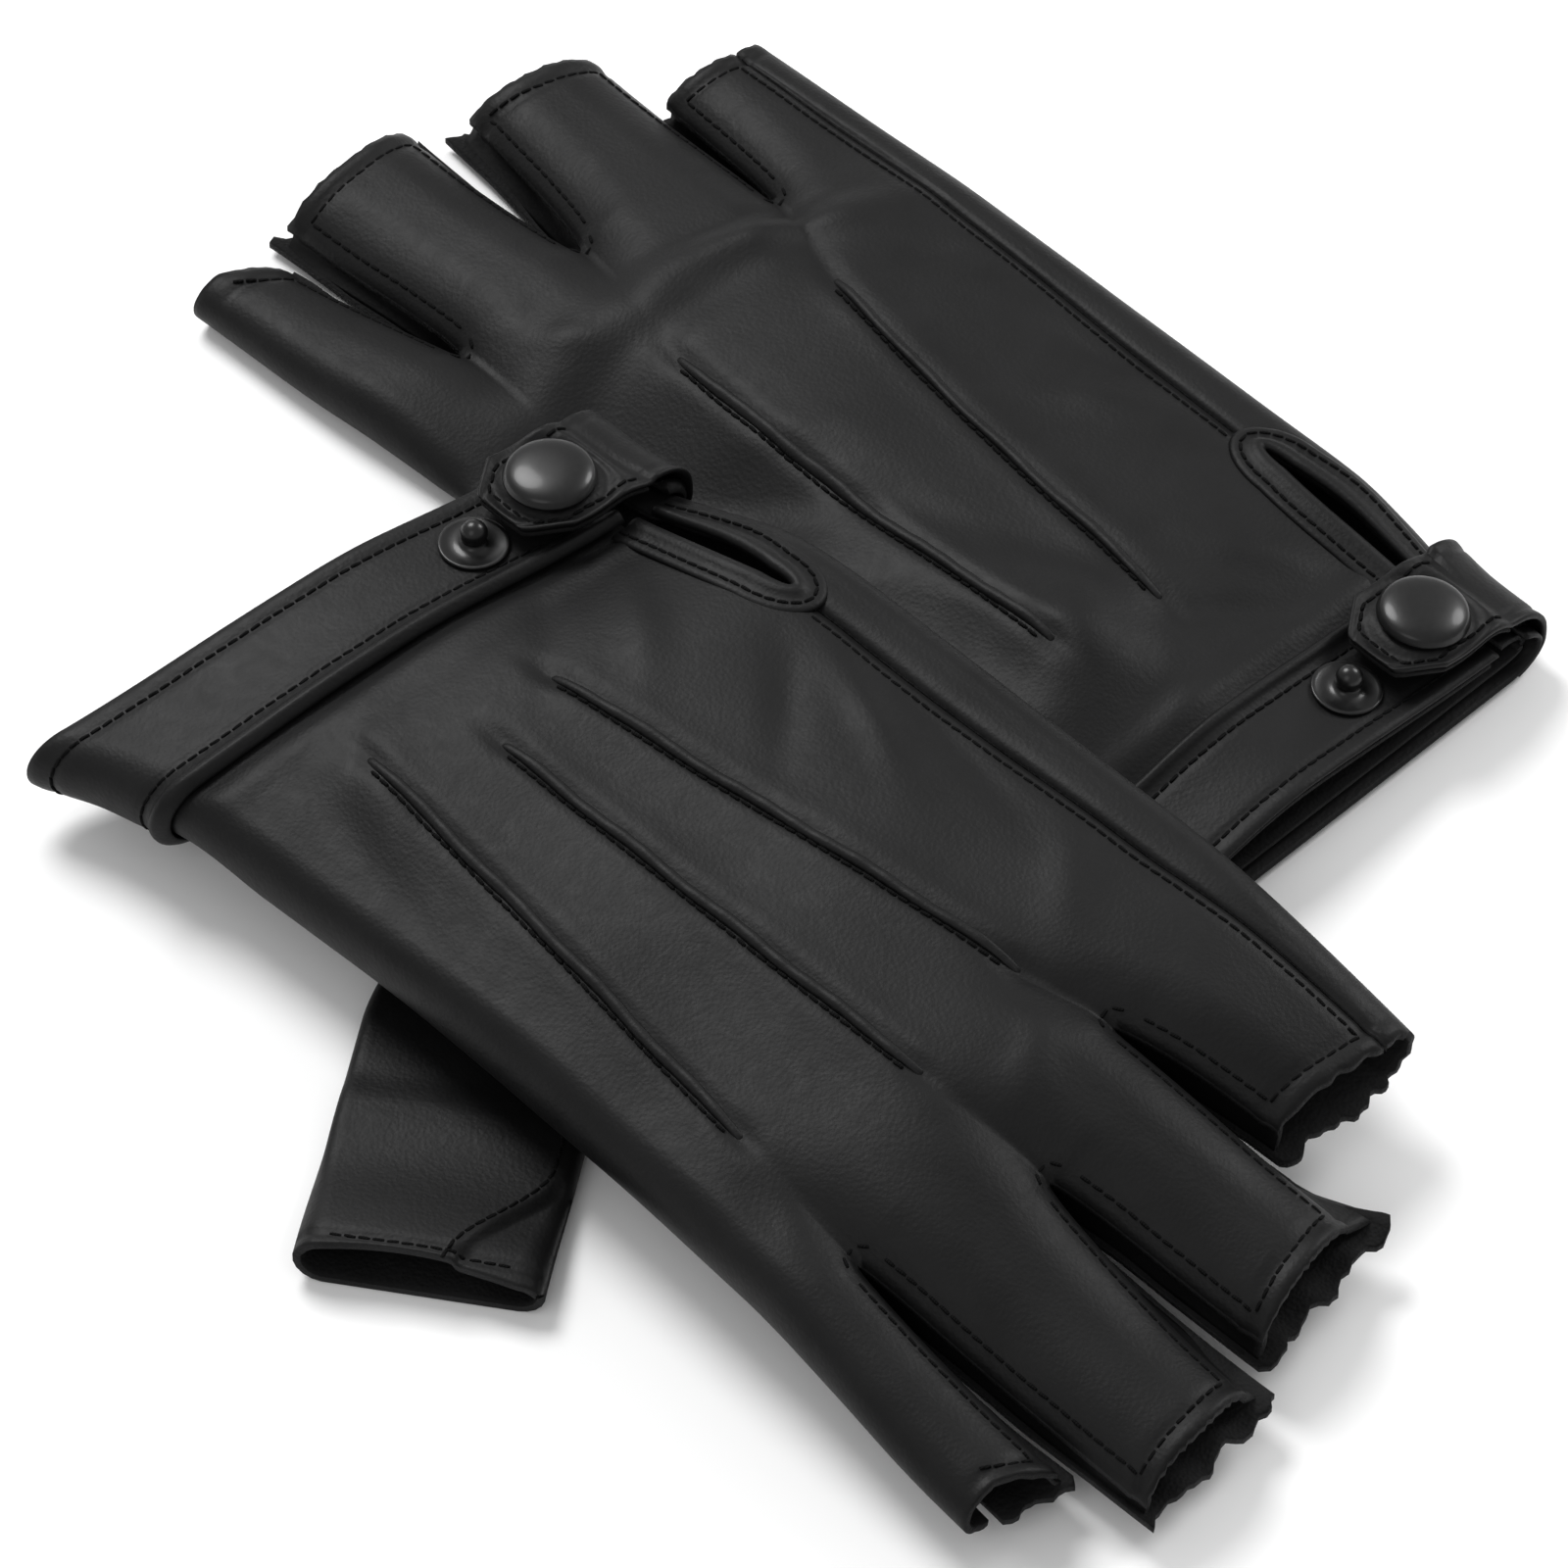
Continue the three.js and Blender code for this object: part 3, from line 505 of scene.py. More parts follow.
def finish_piece(name, points, faces, materials, face_materials, body, replaced=()):
    mesh = bpy.data.meshes.new(name)
    mesh.from_pydata((np.asarray(points) * MM).tolist(), [], faces)
    for m in materials:
        mesh.materials.append(m)
    mesh.polygons.foreach_set("material_index", face_materials)
    mesh.polygons.foreach_set("use_smooth", [True] * len(faces))
    mesh.validate()
    piece = bpy.data.objects.new(name, mesh)
    bpy.context.scene.collection.objects.link(piece)
    turn_outwards(piece)
    if body:
        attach(piece, body)
    if replaced:
        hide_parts(*replaced)
    return piece


def turn_outwards(piece):
    b = bmesh.new()
    b.from_mesh(piece.data)
    bmesh.ops.recalc_face_normals(b, faces=b.faces)
    b.to_mesh(piece.data)
    b.free()


class Sheet:
    """A sheet of leather: quads over an outer and an inner skin, joined round every free edge."""

    def __init__(self):
        self.keys = {}
        self.spots = []
        self.quads = []

    def vertex(self, key, *spot):
        if key not in self.keys:
            self.keys[key] = len(self.spots)
            self.spots.append(spot)
        return self.keys[key]

    def grid(self, columns, keep=None):
        for a, b in zip(columns, columns[1:]):
            for j in range(len(a) - 1):
                quad = (a[j], b[j], b[j + 1], a[j + 1])
                if keep is None or keep(quad):
                    self.quads.append(quad)

    def solid(self, outer, inner):
        n = len(outer)
        faces, kinds, edges = [], [], {}
        for q in self.quads:
            faces += [q, tuple(i + n for i in reversed(q))]
            kinds += [0, 1]
            for a, b in zip(q, q[1:] + q[:1]):
                if (b, a) in edges:
                    del edges[(b, a)]
                else:
                    edges[(a, b)] = True
        for a, b in edges:
            faces.append((b, a, a + n, b + n))
            kinds.append(2)
        return np.concatenate([outer, inner]), faces, kinds


def sheet_piece(g, name, replaced, sheet, outer, inner):
    """A sheet as a closed piece: grain outside, flesh side inside and raw leather round its edges."""
    points, faces, kinds = sheet.solid(outer, inner)
    return finish_piece(
        name, points, faces, [SKIN, FLESH, RAW], kinds, g["side"] + "_glove", [replaced])


def tube_faces(stations, loop):
    faces = []
    for start in range(0, (stations - 1) * loop, loop):
        for j in range(loop):
            m = (j + 1) % loop
            faces.append((start + j, start + loop + j, start + loop + m, start + m))
    return faces + [tuple(range(loop)), tuple((stations - 1) * loop + j for j in reversed(range(loop)))]


def swept(name, sections, body, replaced=(), materials=None):
    """Joins loops of points, given as (stations, loop, 3), along the stations, and caps both ends."""
    faces = tube_faces(*sections.shape[:2])
    return finish_piece(
        name, sections.reshape(-1, 3), faces, materials or [SKIN], [0] * len(faces), body, replaced)


# ---- Panels ----

def panel_rows(g):
    crotches = sorted(s["crotch"] for s in g["slits"])
    rows = list(np.arange(PANEL_START, crotches[0], CELL)[:-1])
    for a, b in zip(crotches, crotches[1:]):
        rows += list(np.linspace(a, b, max(int((b - a) / CELL), 1), endpoint=False))
    return rows + [crotches[-1]]


def finger_rows(g, finger, share, rows):
    tip = mix(*g["tips"][finger], share)
    count = int((max(g["tips"][finger]) - rows[-1]) / CELL)
    return rows + list(np.linspace(rows[-1], tip, count + 1)[1:])


def slit_side(g, s, u, after, lean):
    flare = g["flare"][0 if after else 1] if lean else 0
    away = slit_gap(s, u) * (0.5 - flare)
    spread = s["spread"] * step(s["tip_u"] - 4, s["tip_u"] + 9, u) if lean and after else 0
    return s["line"](u) + (away if after else -away) - spread


def finger_columns(sheet, g, finger, lean, low, high, rows, kind):
    slits = g["slits"]
    first_v = slits[finger - 1]["line"](COLUMNS_U) if finger else OUTER_SIDE
    last_v = slits[finger]["line"](COLUMNS_U) if finger < 3 else THUMB_SIDE
    count = max(int((last_v - first_v) / CELL), 6)
    columns = []
    for i in range(count + 1):
        share = i / count
        us = np.array(finger_rows(g, finger, share, rows))
        lo = slit_side(g, slits[finger - 1], us, True, lean) if finger else low(us)
        hi = slit_side(g, slits[finger], us, False, lean) if finger < 3 else high(us)
        vs = mix(lo, hi, share)
        side = finger - 1 if i == 0 and finger else finger if i == count and finger < 3 else None
        column = []
        for j, (u, v) in enumerate(zip(us, vs)):
            shared = side is not None and u <= slits[side]["crotch"] + 1e-6
            column.append(sheet.vertex(("slit", side, j) if shared else (finger, i, j), kind, u, v))
        columns.append(column)
    return columns


KINDS = ("back", "palm", "thumb_roll", "outer_roll")  # a roll's q is an angle, and the others' q is v


def ragged(g, kind, u, q):
    """Moves the raw edges at the fingertips a little, and lets the palm's wavy edges show past the back's."""
    rolled = kind > KINDS.index("palm")
    v = np.where(rolled, 2.2 * q / 9, q)
    side = np.where(kind == KINDS.index("thumb_roll"), THUMB_SIDE, 2)
    ends = tip_at(g, np.where(rolled, side, q))
    fray = 0.16 * np.sin(8.3 * v) + 0.11 * np.sin(21 * v + 1) + 0.07 * np.sin(47 * v)
    near = np.where(u > TIPS_FROM, bell(ends - u, 0.8), 0)
    wavy = 0.55 * np.sin(0.61 * v + 1) + 0.35 * np.sin(1.13 * v + 2.4) + 0.2 * np.sin(2.3 * v)
    palm_only = np.where(kind == KINDS.index("palm"), step(ends - 9, ends, u), 0)
    longer = (1.1 + wavy) * palm_only * (u > TIPS_FROM)
    return u + fray * near + longer


def evaluate(g, sheet, off):
    """The sheet's points, each put where its kind says, off millimetres out from the leather's face."""
    kind, u, q = np.array([(KINDS.index(k), u, q) for k, u, q in sheet.spots]).T
    u = ragged(g, kind, u, q)
    points = np.zeros((len(kind), 3))
    for number, at in enumerate((
            lambda u, q: on_back(g, u, q, off),
            lambda u, q: on_palm(g, u, q, off),
            lambda u, q: on_edge(g, u, False, q, off, detailed=True),
            lambda u, q: on_edge(g, u, True, q, off, detailed=True))):
        chosen = kind == number
        if chosen.any():
            points[chosen] = at(u[chosen], q[chosen])
    return points


def back_panel(g):
    sheet = Sheet()
    rows = panel_rows(g)

    def low(u):
        return g["seam"](u) + (GAP + vent_gap(u)) / 2

    def high(u):
        return thumb_edge(u) - EDGE

    fingers = [finger_columns(sheet, g, f, False, low, high, rows, "back") for f in range(4)]
    for columns in fingers:
        sheet.grid(columns)
    us = finger_rows(g, 3, 1, rows)
    rolled = [
        [sheet.vertex(("roll", angle, j), "thumb_roll", u, angle) for j, u in enumerate(us)]
        for angle in np.linspace(90, -80, 20)[1:]]
    sheet.grid([fingers[3][-1], *rolled])
    leather_shell(g, sheet, "back")


def palm_panel(g):
    sheet = Sheet()
    rows = panel_rows(g)

    def low(u):
        return EDGE + 0 * u

    def high(u):
        return thumb_edge(u) - EDGE - GAP

    fingers = [finger_columns(sheet, g, f, True, low, high, rows, "palm") for f in range(4)]
    a = math.radians(g["thumb_angle"])
    hole_u = g["thumb_u"] - THUMB_HOLE * math.cos(a)
    hole_v = float(thumb_edge(g["thumb_u"])) - THUMB_HOLE * math.sin(a)

    def outside_hole(quad):
        u, v = np.mean([sheet.spots[i][1:] for i in quad], axis=0)
        return math.hypot(u - hole_u, v - hole_v) > THUMB_HOLE_R

    for columns in fingers:
        sheet.grid(columns, outside_hole)
    us = finger_rows(g, 0, 0, rows)
    rolled = [
        [sheet.vertex(("roll", angle, j), "outer_roll", u, angle) for j, u in enumerate(us)]
        for angle in np.linspace(-90, 90, 22)[1:]]
    lips = []
    for share in np.linspace(0, 1, 5)[1:]:
        edge = [max(float(g["seam"](u) - (GAP + vent_gap(u)) / 2), EDGE + 0.1) for u in us]
        lips.append([sheet.vertex(("lip", share, j), "back", u, mix(EDGE, v, share))
                     for j, (u, v) in enumerate(zip(us, edge))])
    sheet.grid([fingers[0][0], *rolled, *lips])
    leather_shell(g, sheet, "palm")


def leather_shell(g, sheet, part):
    """Makes the panel, leaving out the points that no cell uses."""
    used = sorted({i for q in sheet.quads for i in q})
    renumber = {old: new for new, old in enumerate(used)}
    sheet.spots = [sheet.spots[i] for i in used]
    sheet.quads = [tuple(renumber[i] for i in q) for q in sheet.quads]
    name = "%s_%s" % (g["side"], part)
    outer, inner = evaluate(g, sheet, 0), evaluate(g, sheet, -LEATHER)
    sheet_piece(g, name + "_leather", name + "_panel", sheet, outer, inner)


def fourchette(g, index, name):
    """The strip round a crotch, between two fingers' sides."""
    s = g["slits"][index]
    shares = np.linspace(1, 0.02, 34) ** 1.5
    sheet = Sheet()
    stations = [(share, False) for share in shares] + [(0, None)] + [(share, True) for share in shares[::-1]]
    levels = 9
    skins = ([], [])
    columns = []
    for i, (share, after) in enumerate(stations):
        column = []
        for level in range(levels):
            q = level / (levels - 1)
            column.append(sheet.vertex((i, level)))
            for skin, inset in zip(skins, (WALL_INSET, WALL_INSET + LINING)):
                if after is None:
                    u, v = s["crotch"] - inset - 0.4, float(s["line"](s["crotch"]))
                else:
                    tip = g["tips"][index + 1 if after else index][0 if after else 1] - 0.5
                    u = mix(s["crotch"], tip, share)
                    lean, plain = (slit_side(g, s, u, after, flag) for flag in (True, False))
                    v = float(mix(lean, plain, q)) + (inset if after else -inset)
                    v += (0.35 if after else -0.35) * math.sin(math.pi * q)
                low = palm_at(u) + LEATHER + 0.1
                high = back_at(g, u, v) + relief(g, u, np.array(v)) - LEATHER - 0.1
                skin.append(place(g, u, v, mix(low, high, q)))
        columns.append(column)
    sheet.grid(columns)
    piece = "%s_fourchette_%s" % (g["side"], name)
    sheet_piece(g, piece + "_leather", piece, sheet, np.array(skins[0]), np.array(skins[1]))


# ---- Thumb ----

def thumb_point(g, s, t, z):
    a = math.radians(g["thumb_angle"])
    u = g["thumb_u"] + math.cos(a) * s + math.sin(a) * t
    v = thumb_edge(g["thumb_u"]) + math.sin(a) * s - math.cos(a) * t
    return np.stack(np.broadcast_arrays(g["cuff_x"] + g["along"] * u, g["outer_y"] - v, z), -1)


def lap_line(s):
    """Where the thumb's upper layer ends and laps the lower one."""
    return mix(1.04, 0.34, step(10, THUMB_REACH, s))


def thumb_skin(g, around, s, off):
    """around runs 0 to 1: over the top, round one edge, under, and round the other edge."""
    around, s = np.broadcast_arrays(around, s)
    flat = THUMB_TOP
    t = np.select(
        [around < flat, around < 0.5, around < 0.5 + flat],
        [mix(1, -1, around / flat), -1 + 0 * around, mix(-1, 1, (around - 0.5) / flat)], 1.0)
    angle = np.select(
        [around < flat, around < 0.5, around < 0.5 + flat],
        [90 + 0 * around, mix(90, 270, (around - flat) / (0.5 - flat)), 270 + 0 * around],
        mix(-90, 90, (around - 0.5 - flat) / (0.5 - flat)))
    a = np.radians(angle)
    height = thumb_height(s)
    width = thumb_half_width(s) - height / 2
    top = (angle < 180) & (np.sin(a) > 0.2)
    lap = (1.3 / (1 + np.exp(np.clip((t - lap_line(s)) * 70, -40, 40))) - 0.4) * top * step(-2, 4, s)
    crown = 0.5 * (1 - t ** 2) * step(0, 20, s) * top
    soft = 0.5 * unevenness(2 * s, 9 * t, 0.9) * top * step(0, 8, s)
    hem = -0.35 * bell(s - (THUMB_REACH - HEM), 0.6) * top
    sunk = -1.5 * step(6, 24, s) * top
    z = height / 2 + (height / 2 + off) * np.sin(a) + lap + crown + soft + hem + sunk
    return thumb_point(g, s, t * width + (height / 2 + off) * np.cos(a), z)


def thumb(g):
    sheet = Sheet()
    around_count, rings = 112, 70
    skins = ([], [])
    columns = []
    for i in range(around_count):
        around = i / around_count
        upper = 1 - step(0.40, 0.52, around) if around < 0.7 else step(0.9, 1.0, around)
        first = mix(-THUMB_ROOT, -THUMB_HOLE + THUMB_HOLE_R - 2, upper)
        bow = 1.6 * math.sin(2 * math.pi * around) if around < 0.5 else 0
        s = np.linspace(first, THUMB_REACH - bow, rings)
        columns.append([sheet.vertex((i, j)) for j in range(rings)])
        for skin, off in zip(skins, (0, -LEATHER)):
            skin.append(thumb_skin(g, np.full(rings, around), s, off))
    sheet.grid([*columns, columns[0]])
    piece = g["side"] + "_thumb"
    sheet_piece(g, piece + "_leather", piece, sheet, np.concatenate(skins[0]), np.concatenate(skins[1]))


# ---- Cuff ----

def cuff_stations(g, end_angle):
    """Steps round the cuff: a list of functions from (u, off) arrays to points."""
    steps = []
    for q in np.linspace(0, 1, 110, endpoint=False):
        def over(u, off, q=q):
            start = g["seam"](u) + vent_gap(u) / 2 + 0.7
            v = mix(start, thumb_edge(u) - EDGE, q)
            return place(g, u, v, back_at(g, u, v) + off + band_wave(u, v))
        steps.append(over)
    for angle in np.linspace(90, -90, 26, endpoint=False):
        steps.append(lambda u, off, angle=angle: on_edge(g, u, False, angle, off))
    for q in np.linspace(0, 1, 100, endpoint=False):
        def under(u, off, q=q):
            v = mix(thumb_edge(u) - EDGE, EDGE, q)
            return place(g, u, v, palm_at(u) - off)
        steps.append(under)
    for angle in np.linspace(-90, end_angle, 24):
        steps.append(lambda u, off, angle=angle: on_edge(g, u, True, angle, off))
    return steps


def band_profile():
    """(u, off) round the band's section: its rounded cuff edge, topstitched face and rolled lip."""
    face = BAND_GAP + STRAP
    us = np.linspace(1.0, BAND_WIDTH - 2.6, 24)
    dents = -0.3 * bell(us - 2.6, 0.5) - 0.3 * bell(us - (BAND_WIDTH - 3.6), 0.5)
    outer = [(u, face + d) for u, d in zip(us, dents)]
    lip_middle, lip_r = BAND_WIDTH - 1.15, 1.1
    lip = [(lip_middle - lip_r * math.cos(a), face + 0.05 + 0.75 * math.sin(a) - 0.9 * max(-math.cos(a), 0))
           for a in np.linspace(0.25, math.pi, 10)]
    inner = [(BAND_WIDTH - 0.1, BAND_GAP), (BAND_WIDTH * 0.5, BAND_GAP), (0.6, BAND_GAP)]
    nose = [(0.1, BAND_GAP + 0.25), (0.0, BAND_GAP + 0.5), (0.2, BAND_GAP + 0.78)]
    return np.array(outer + lip + inner + nose)


def cuff_band(g):
    profile = band_profile()
    sections = np.array([at(profile[:, 0], profile[:, 1]) for at in cuff_stations(g, 60)])
    side = g["side"]
    swept(side + "_cuff_band_leather", sections, side + "_glove", [side + "_cuff_band"])


def cuff_facing(g):
    top, bottom = -LEATHER - BAND_GAP, -LEATHER - BAND_GAP - LINING
    us = np.linspace(1.2, BAND_WIDTH, 12)
    profile = np.array([(u, top) for u in us] + [(u, bottom) for u in us[::-1]])
    sections = np.array([at(profile[:, 0], profile[:, 1]) for at in cuff_stations(g, 30)])
    side = g["side"]
    swept(side + "_cuff_facing_leather", sections, side + "_glove", [side + "_cuff_facing"],
          materials=[FLESH])


def vent_path(g, outward):
    """(u, v) along the vent slit's edge, outward millimetres from it, in a hairpin."""
    straight = np.linspace(BAND_WIDTH + 1, VENT_TURN, 34)
    turn = np.linspace(0, math.pi, 40)[1:-1]
    reach = VENT_END - VENT_TURN
    half = float(vent_gap(VENT_TURN)) / 2
    seam = g["seam"]

    def side_of(u):
        return float(vent_gap(u)) / 2 + 0.3 + outward

    first = [(u, float(seam(u)) + side_of(u)) for u in straight]
    round_end = [
        (VENT_TURN + (reach + 0.8 + outward) * math.sin(a),
         float(seam(VENT_TURN)) + (half + 0.3 + outward) * math.cos(a)) for a in turn]
    last = [(u, float(seam(u)) - side_of(u)) for u in straight[::-1]]
    return np.array(first + round_end + last)


def on_shell(g, u, v, off):
    """A point over the back's surface that carries on round the outer edge where v is under EDGE."""
    inside = on_back(g, u, np.maximum(v, EDGE), off, detailed=False)
    angle = 90 - np.degrees(np.clip((EDGE - v) / EDGE, 0, 1.4))
    edge = on_edge(g, u, True, angle, off)
    return np.where((v < EDGE)[:, None], edge, inside)


def vent_binding(g):
    """A turned strip round the slit: a rounded roll at the slit and a flat flange outside it."""
    profile = [(-0.6, -0.6), (-1.3, 0.0), (-1.35, 0.8), (-0.75, 1.3), (0.1, 1.35), (0.8, 1.0), (1.3, 0.7),
               (1.9, 0.6), (2.4, 0.55), (3.0, 0.6), (3.5, 0.45), (3.9, 0.1), (3.5, -0.2), (1.2, -0.2)]
    loops = []
    for outward, off in profile:
        path = vent_path(g, outward)
        loops.append(on_shell(g, path[:, 0], path[:, 1], off))
    side = g["side"]
    sections = np.array(loops).transpose(1, 0, 2)
    swept(side + "_vent_binding_leather", sections, side + "_glove", [side + "_vent_binding"])


# ---- Closing tab ----

def band_top(g, v):
    u = SNAP_U + 0 * v
    return back_at(g, u, v) + BAND_GAP + STRAP


def tab_surface(g, u, v, off):
    """A point off millimetres over the tab's underside."""
    snap = np.hypot(u - SNAP_U, v - SNAP_V)
    pinched = 0.5 * bell(snap - 7.4, 1.0) - 0.25 * bell(snap - 9.6, 1.3)
    soft = 0.10 * unevenness(2.2 * u, 2.6 * v, 5.1) - pinched
    risen = mix(TAB_FOLD, 1, step(5, 13, v))
    w = band_top(g, v) + TAB_LOW + TAB_RISE * risen + off + soft * step(7, 11, v)
    return place(g, u, v, w - TAB_DROOP * step(22, 28, v))


def tab_half(v, inset):
    """Half the tab's width at v: square with chamfered, slightly rounded corners."""
    narrow = np.maximum(v - (TAB_TIP - TAB_CHAMFER), 0) * 0.72
    tip = np.clip((TAB_TIP - inset - v) / 0.8, 0, 1)
    return (BAND_WIDTH / 2 - 0.2 - inset - narrow) * (0.9 + 0.1 * np.sqrt(tip))


def strap_section(thickness, low):
    """(share across, off) round a strap's section, with rounded edges."""
    shares = np.linspace(-0.97, 0.97, 30)
    top = [(s, low + thickness - 0.22 * float(bell((1 - abs(s)) * 8.4 - 1.8, 0.5))) for s in shares]
    right = [(0.995, low + thickness * 0.75), (1.0, low + thickness * 0.45), (0.99, low + 0.1)]
    bottom = [(s, low) for s in (0.9, 0.3, -0.3, -0.9)]
    left = [(-0.99, low + 0.1), (-1.0, low + thickness * 0.45), (-0.995, low + thickness * 0.75)]
    return np.array(top + right + bottom + left)


def tab_sections(g, section, stops, inset):
    sections = []
    for v in stops:
        u = TAB_MIDDLE + section[:, 0] * tab_half(v, inset)
        sections.append(tab_surface(g, u, v + 0 * u, section[:, 1]))
    return sections


def rounded_tip(section, stops, end):
    """Thins the last sections so that the strap's end is rounded too."""
    depth = 0.45
    middle = section[:, 1].mean()
    thinned = []
    for v in stops:
        t = np.clip((end - v) / depth, 0, 1)
        k = math.sqrt(1 - (1 - t) ** 2)
        thinned.append(np.column_stack([section[:, 0], middle + (section[:, 1] - middle) * max(k, 0.15)]))
    return thinned


def closing_tab(g):
    """The strap comes up round the wrist's edge, then crosses the vent to the stud."""
    side = g["side"]
    section = strap_section(STRAP, LINING + GAP)
    sections = []
    for angle in np.linspace(-70, 90, 40, endpoint=False):
        risen = step(0, 90, angle) * (TAB_LOW - TAB_CLEARANCE + LINING + GAP + TAB_FOLD * TAB_RISE)
        u = TAB_MIDDLE + section[:, 0] * tab_half(0.0, 0)
        off = BAND_GAP + STRAP + TAB_CLEARANCE + (section[:, 1] - LINING - GAP) + risen
        sections.append(on_edge(g, u, True, float(angle), off))
    stops = np.concatenate([np.linspace(EDGE, TAB_TIP - 0.5, 60), TAB_TIP - np.array([0.35, 0.2, 0.08, 0.0])])
    for v, thinned in zip(stops, rounded_tip(section, stops, TAB_TIP)):
        sections += tab_sections(g, thinned, [v], 0)
    tab = swept(
        side + "_closing_tab_leather", np.array(sections), None, [side + "_closing_tab"])
    lining = strap_section(LINING, 0)
    stops = np.concatenate([np.linspace(EDGE + 1, TAB_TIP - 0.8, 50), TAB_TIP - np.array([0.6, 0.45, 0.35])])
    swept(side + "_tab_lining_leather", np.array(tab_sections(g, lining, stops, 0.3)), side + "_tab",
          [side + "_tab_lining"], materials=[FLESH])
    height = float(band_top(g, np.array(EDGE)))

    def spot(v, w):
        return tuple((place(g, SNAP_U, v, w) * MM).tolist())

    spot(-1.0, height * 0.55)
    spot(EDGE + 3.0, height + 2.0)
    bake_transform(tab)


# ---- Snap fasteners ----

def seat(g, v):
    """Where a turned part sits on the band: its spot and its three axes."""
    reach = 2.0

    def top(u, at_v):
        return place(g, u, at_v, back_at(g, u, at_v) + BAND_GAP + STRAP)

    along = top(SNAP_U + reach, v) - top(SNAP_U - reach, v)
    across = top(SNAP_U, v + reach) - top(SNAP_U, v - reach)
    normal = np.cross(along, across)
    normal *= np.sign(normal[2]) / np.linalg.norm(normal)
    x = along / np.linalg.norm(along)
    return top(SNAP_U, v), x, np.cross(normal, x), normal


def turned(g, name, profile, v, body, replaced):
    spot, x, y, z = seat(g, v)
    angles = np.linspace(0, 2 * math.pi, TURNED_SIDES, endpoint=False)
    on_axis = profile[0][0] == 0
    points, faces = [], []
    for r, h in profile:
        points += [spot + z * h] if r == 0 else [
            spot + z * h + r * (x * math.cos(a) + y * math.sin(a)) for a in angles]
    starts, count = [], 0
    for r, _ in profile:
        starts.append(count)
        count += 1 if r == 0 else TURNED_SIDES
    pairs = list(zip(range(len(profile)), range(1, len(profile))))
    if not on_axis:
        pairs.append((len(profile) - 1, 0))
    for a, b in pairs:
        for k in range(TURNED_SIDES):
            m = (k + 1) % TURNED_SIDES
            if profile[a][0] == 0:
                faces.append((starts[a], starts[b] + m, starts[b] + k))
            elif profile[b][0] == 0:
                faces.append((starts[a] + k, starts[a] + m, starts[b]))
            else:
                faces.append((starts[a] + k, starts[a] + m, starts[b] + m, starts[b] + k))
    return finish_piece(name, points, faces, [ENAMEL], [0] * len(faces), body, replaced)


def arc(centre_r, centre_h, radius, start, end, count):
    return [(centre_r + radius * math.cos(a), centre_h + radius * math.sin(a))
            for a in np.radians(np.linspace(start, end, count))]


def snaps(g):
    """Outlines are (radius, height over the band); a stud is buried in its socket or free."""
    side = g["side"]
    top = CAP_BASE
    cap = [(0, top - 0.2), (CAP_R - 0.6, top - 0.2)] + arc(CAP_R - 0.45, top + 0.35, 0.45, -90, 30, 7)
    cap += [((CAP_R - 0.3) * math.cos(a) ** 0.8, top + 0.9 + 1.5 * math.sin(a))
            for a in np.linspace(0.12, 1.5, 20)]
    cap.append((0, top + 2.41))
    turned(g, side + "_snap_cap_enamel", cap, SNAP_V, side + "_tab", [side + "_snap_cap"])
    bore, outer = SOCKET_BORE, SOCKET_R
    high = TAB_BASE - GAP
    socket = [(bore, 1.35), (bore + 0.2, 1.2), (outer - 0.4, 1.2), (outer - 0.1, 1.32), (outer, 1.6),
              (outer, high), (bore, high)]
    turned(g, side + "_snap_socket_enamel", socket, SNAP_V, side + "_tab", [side + "_snap_socket"])
    stud = [(0, SHANK_END), (SHANK_R, SHANK_END), (SHANK_R, GAP), (STUD_R - 0.05, GAP)]
    stud += arc(STUD_R, GAP + 0.25, 0.25, -90, 90, 7)
    stud += [(4.1, GAP + 0.42), (3.6, GAP + 0.3), (2.8, GAP + 0.3), (2.1, 0.72), (1.65, 1.0), (1.5, 1.35)]
    buried = stud + arc(1.0, 1.95, 0.92, -35, 60, 8) + [(0.9, 2.8), (0.5, 2.62), (0, 2.58)]
    free = stud + [(1.45, 1.6)] + arc(0, 2.5, 1.85, -35, 88, 14) + [(0, 4.35)]
    washer_top = -(STRAP + BAND_GAP + LEATHER + BAND_GAP + LINING + GAP)
    washer_low = washer_top - WASHER_THICKNESS
    washer = [(WASHER_BORE, washer_low), (WASHER_R - 0.3, washer_low), (WASHER_R - 0.05, washer_top - 0.45),
              (WASHER_R, washer_top - 0.2), (WASHER_R, washer_top), (WASHER_BORE, washer_top)]
    for name, v, outline in (("inner", SNAP_V, buried), ("outer", SNAP_V + STUD_PITCH, free)):
        for kind, profile in (("stud", outline), ("stud_rivet", washer)):
            piece = "%s_%s_%s" % (side, kind, name)
            turned(g, piece + "_enamel", profile, v, side + "_glove", [piece])


# ---- Sewing ----

def stitch_shape():
    """A stitch along +X, 1 long, 1 wide, 1 high."""
    rings, sides = 5, 8
    points = []
    for i in range(rings):
        q = (i + 0.5) / rings * 2 - 1
        r = math.sqrt(1 - q ** 4) * 0.5
        for a in np.linspace(0, 2 * math.pi, sides, endpoint=False):
            points.append((q * 0.5, r * math.cos(a), r * math.sin(a)))
    return np.array(points), tube_faces(rings, sides)


def resample(path, pitch):
    gaps = np.linalg.norm(np.diff(path, axis=0), axis=1)
    along = np.concatenate([[0], np.cumsum(gaps)])
    count = max(int(along[-1] / pitch), 1)
    marks = (np.arange(count) + 0.5) * along[-1] / count
    return np.column_stack([np.interp(marks, along, path[:, k]) for k in range(path.shape[1])])


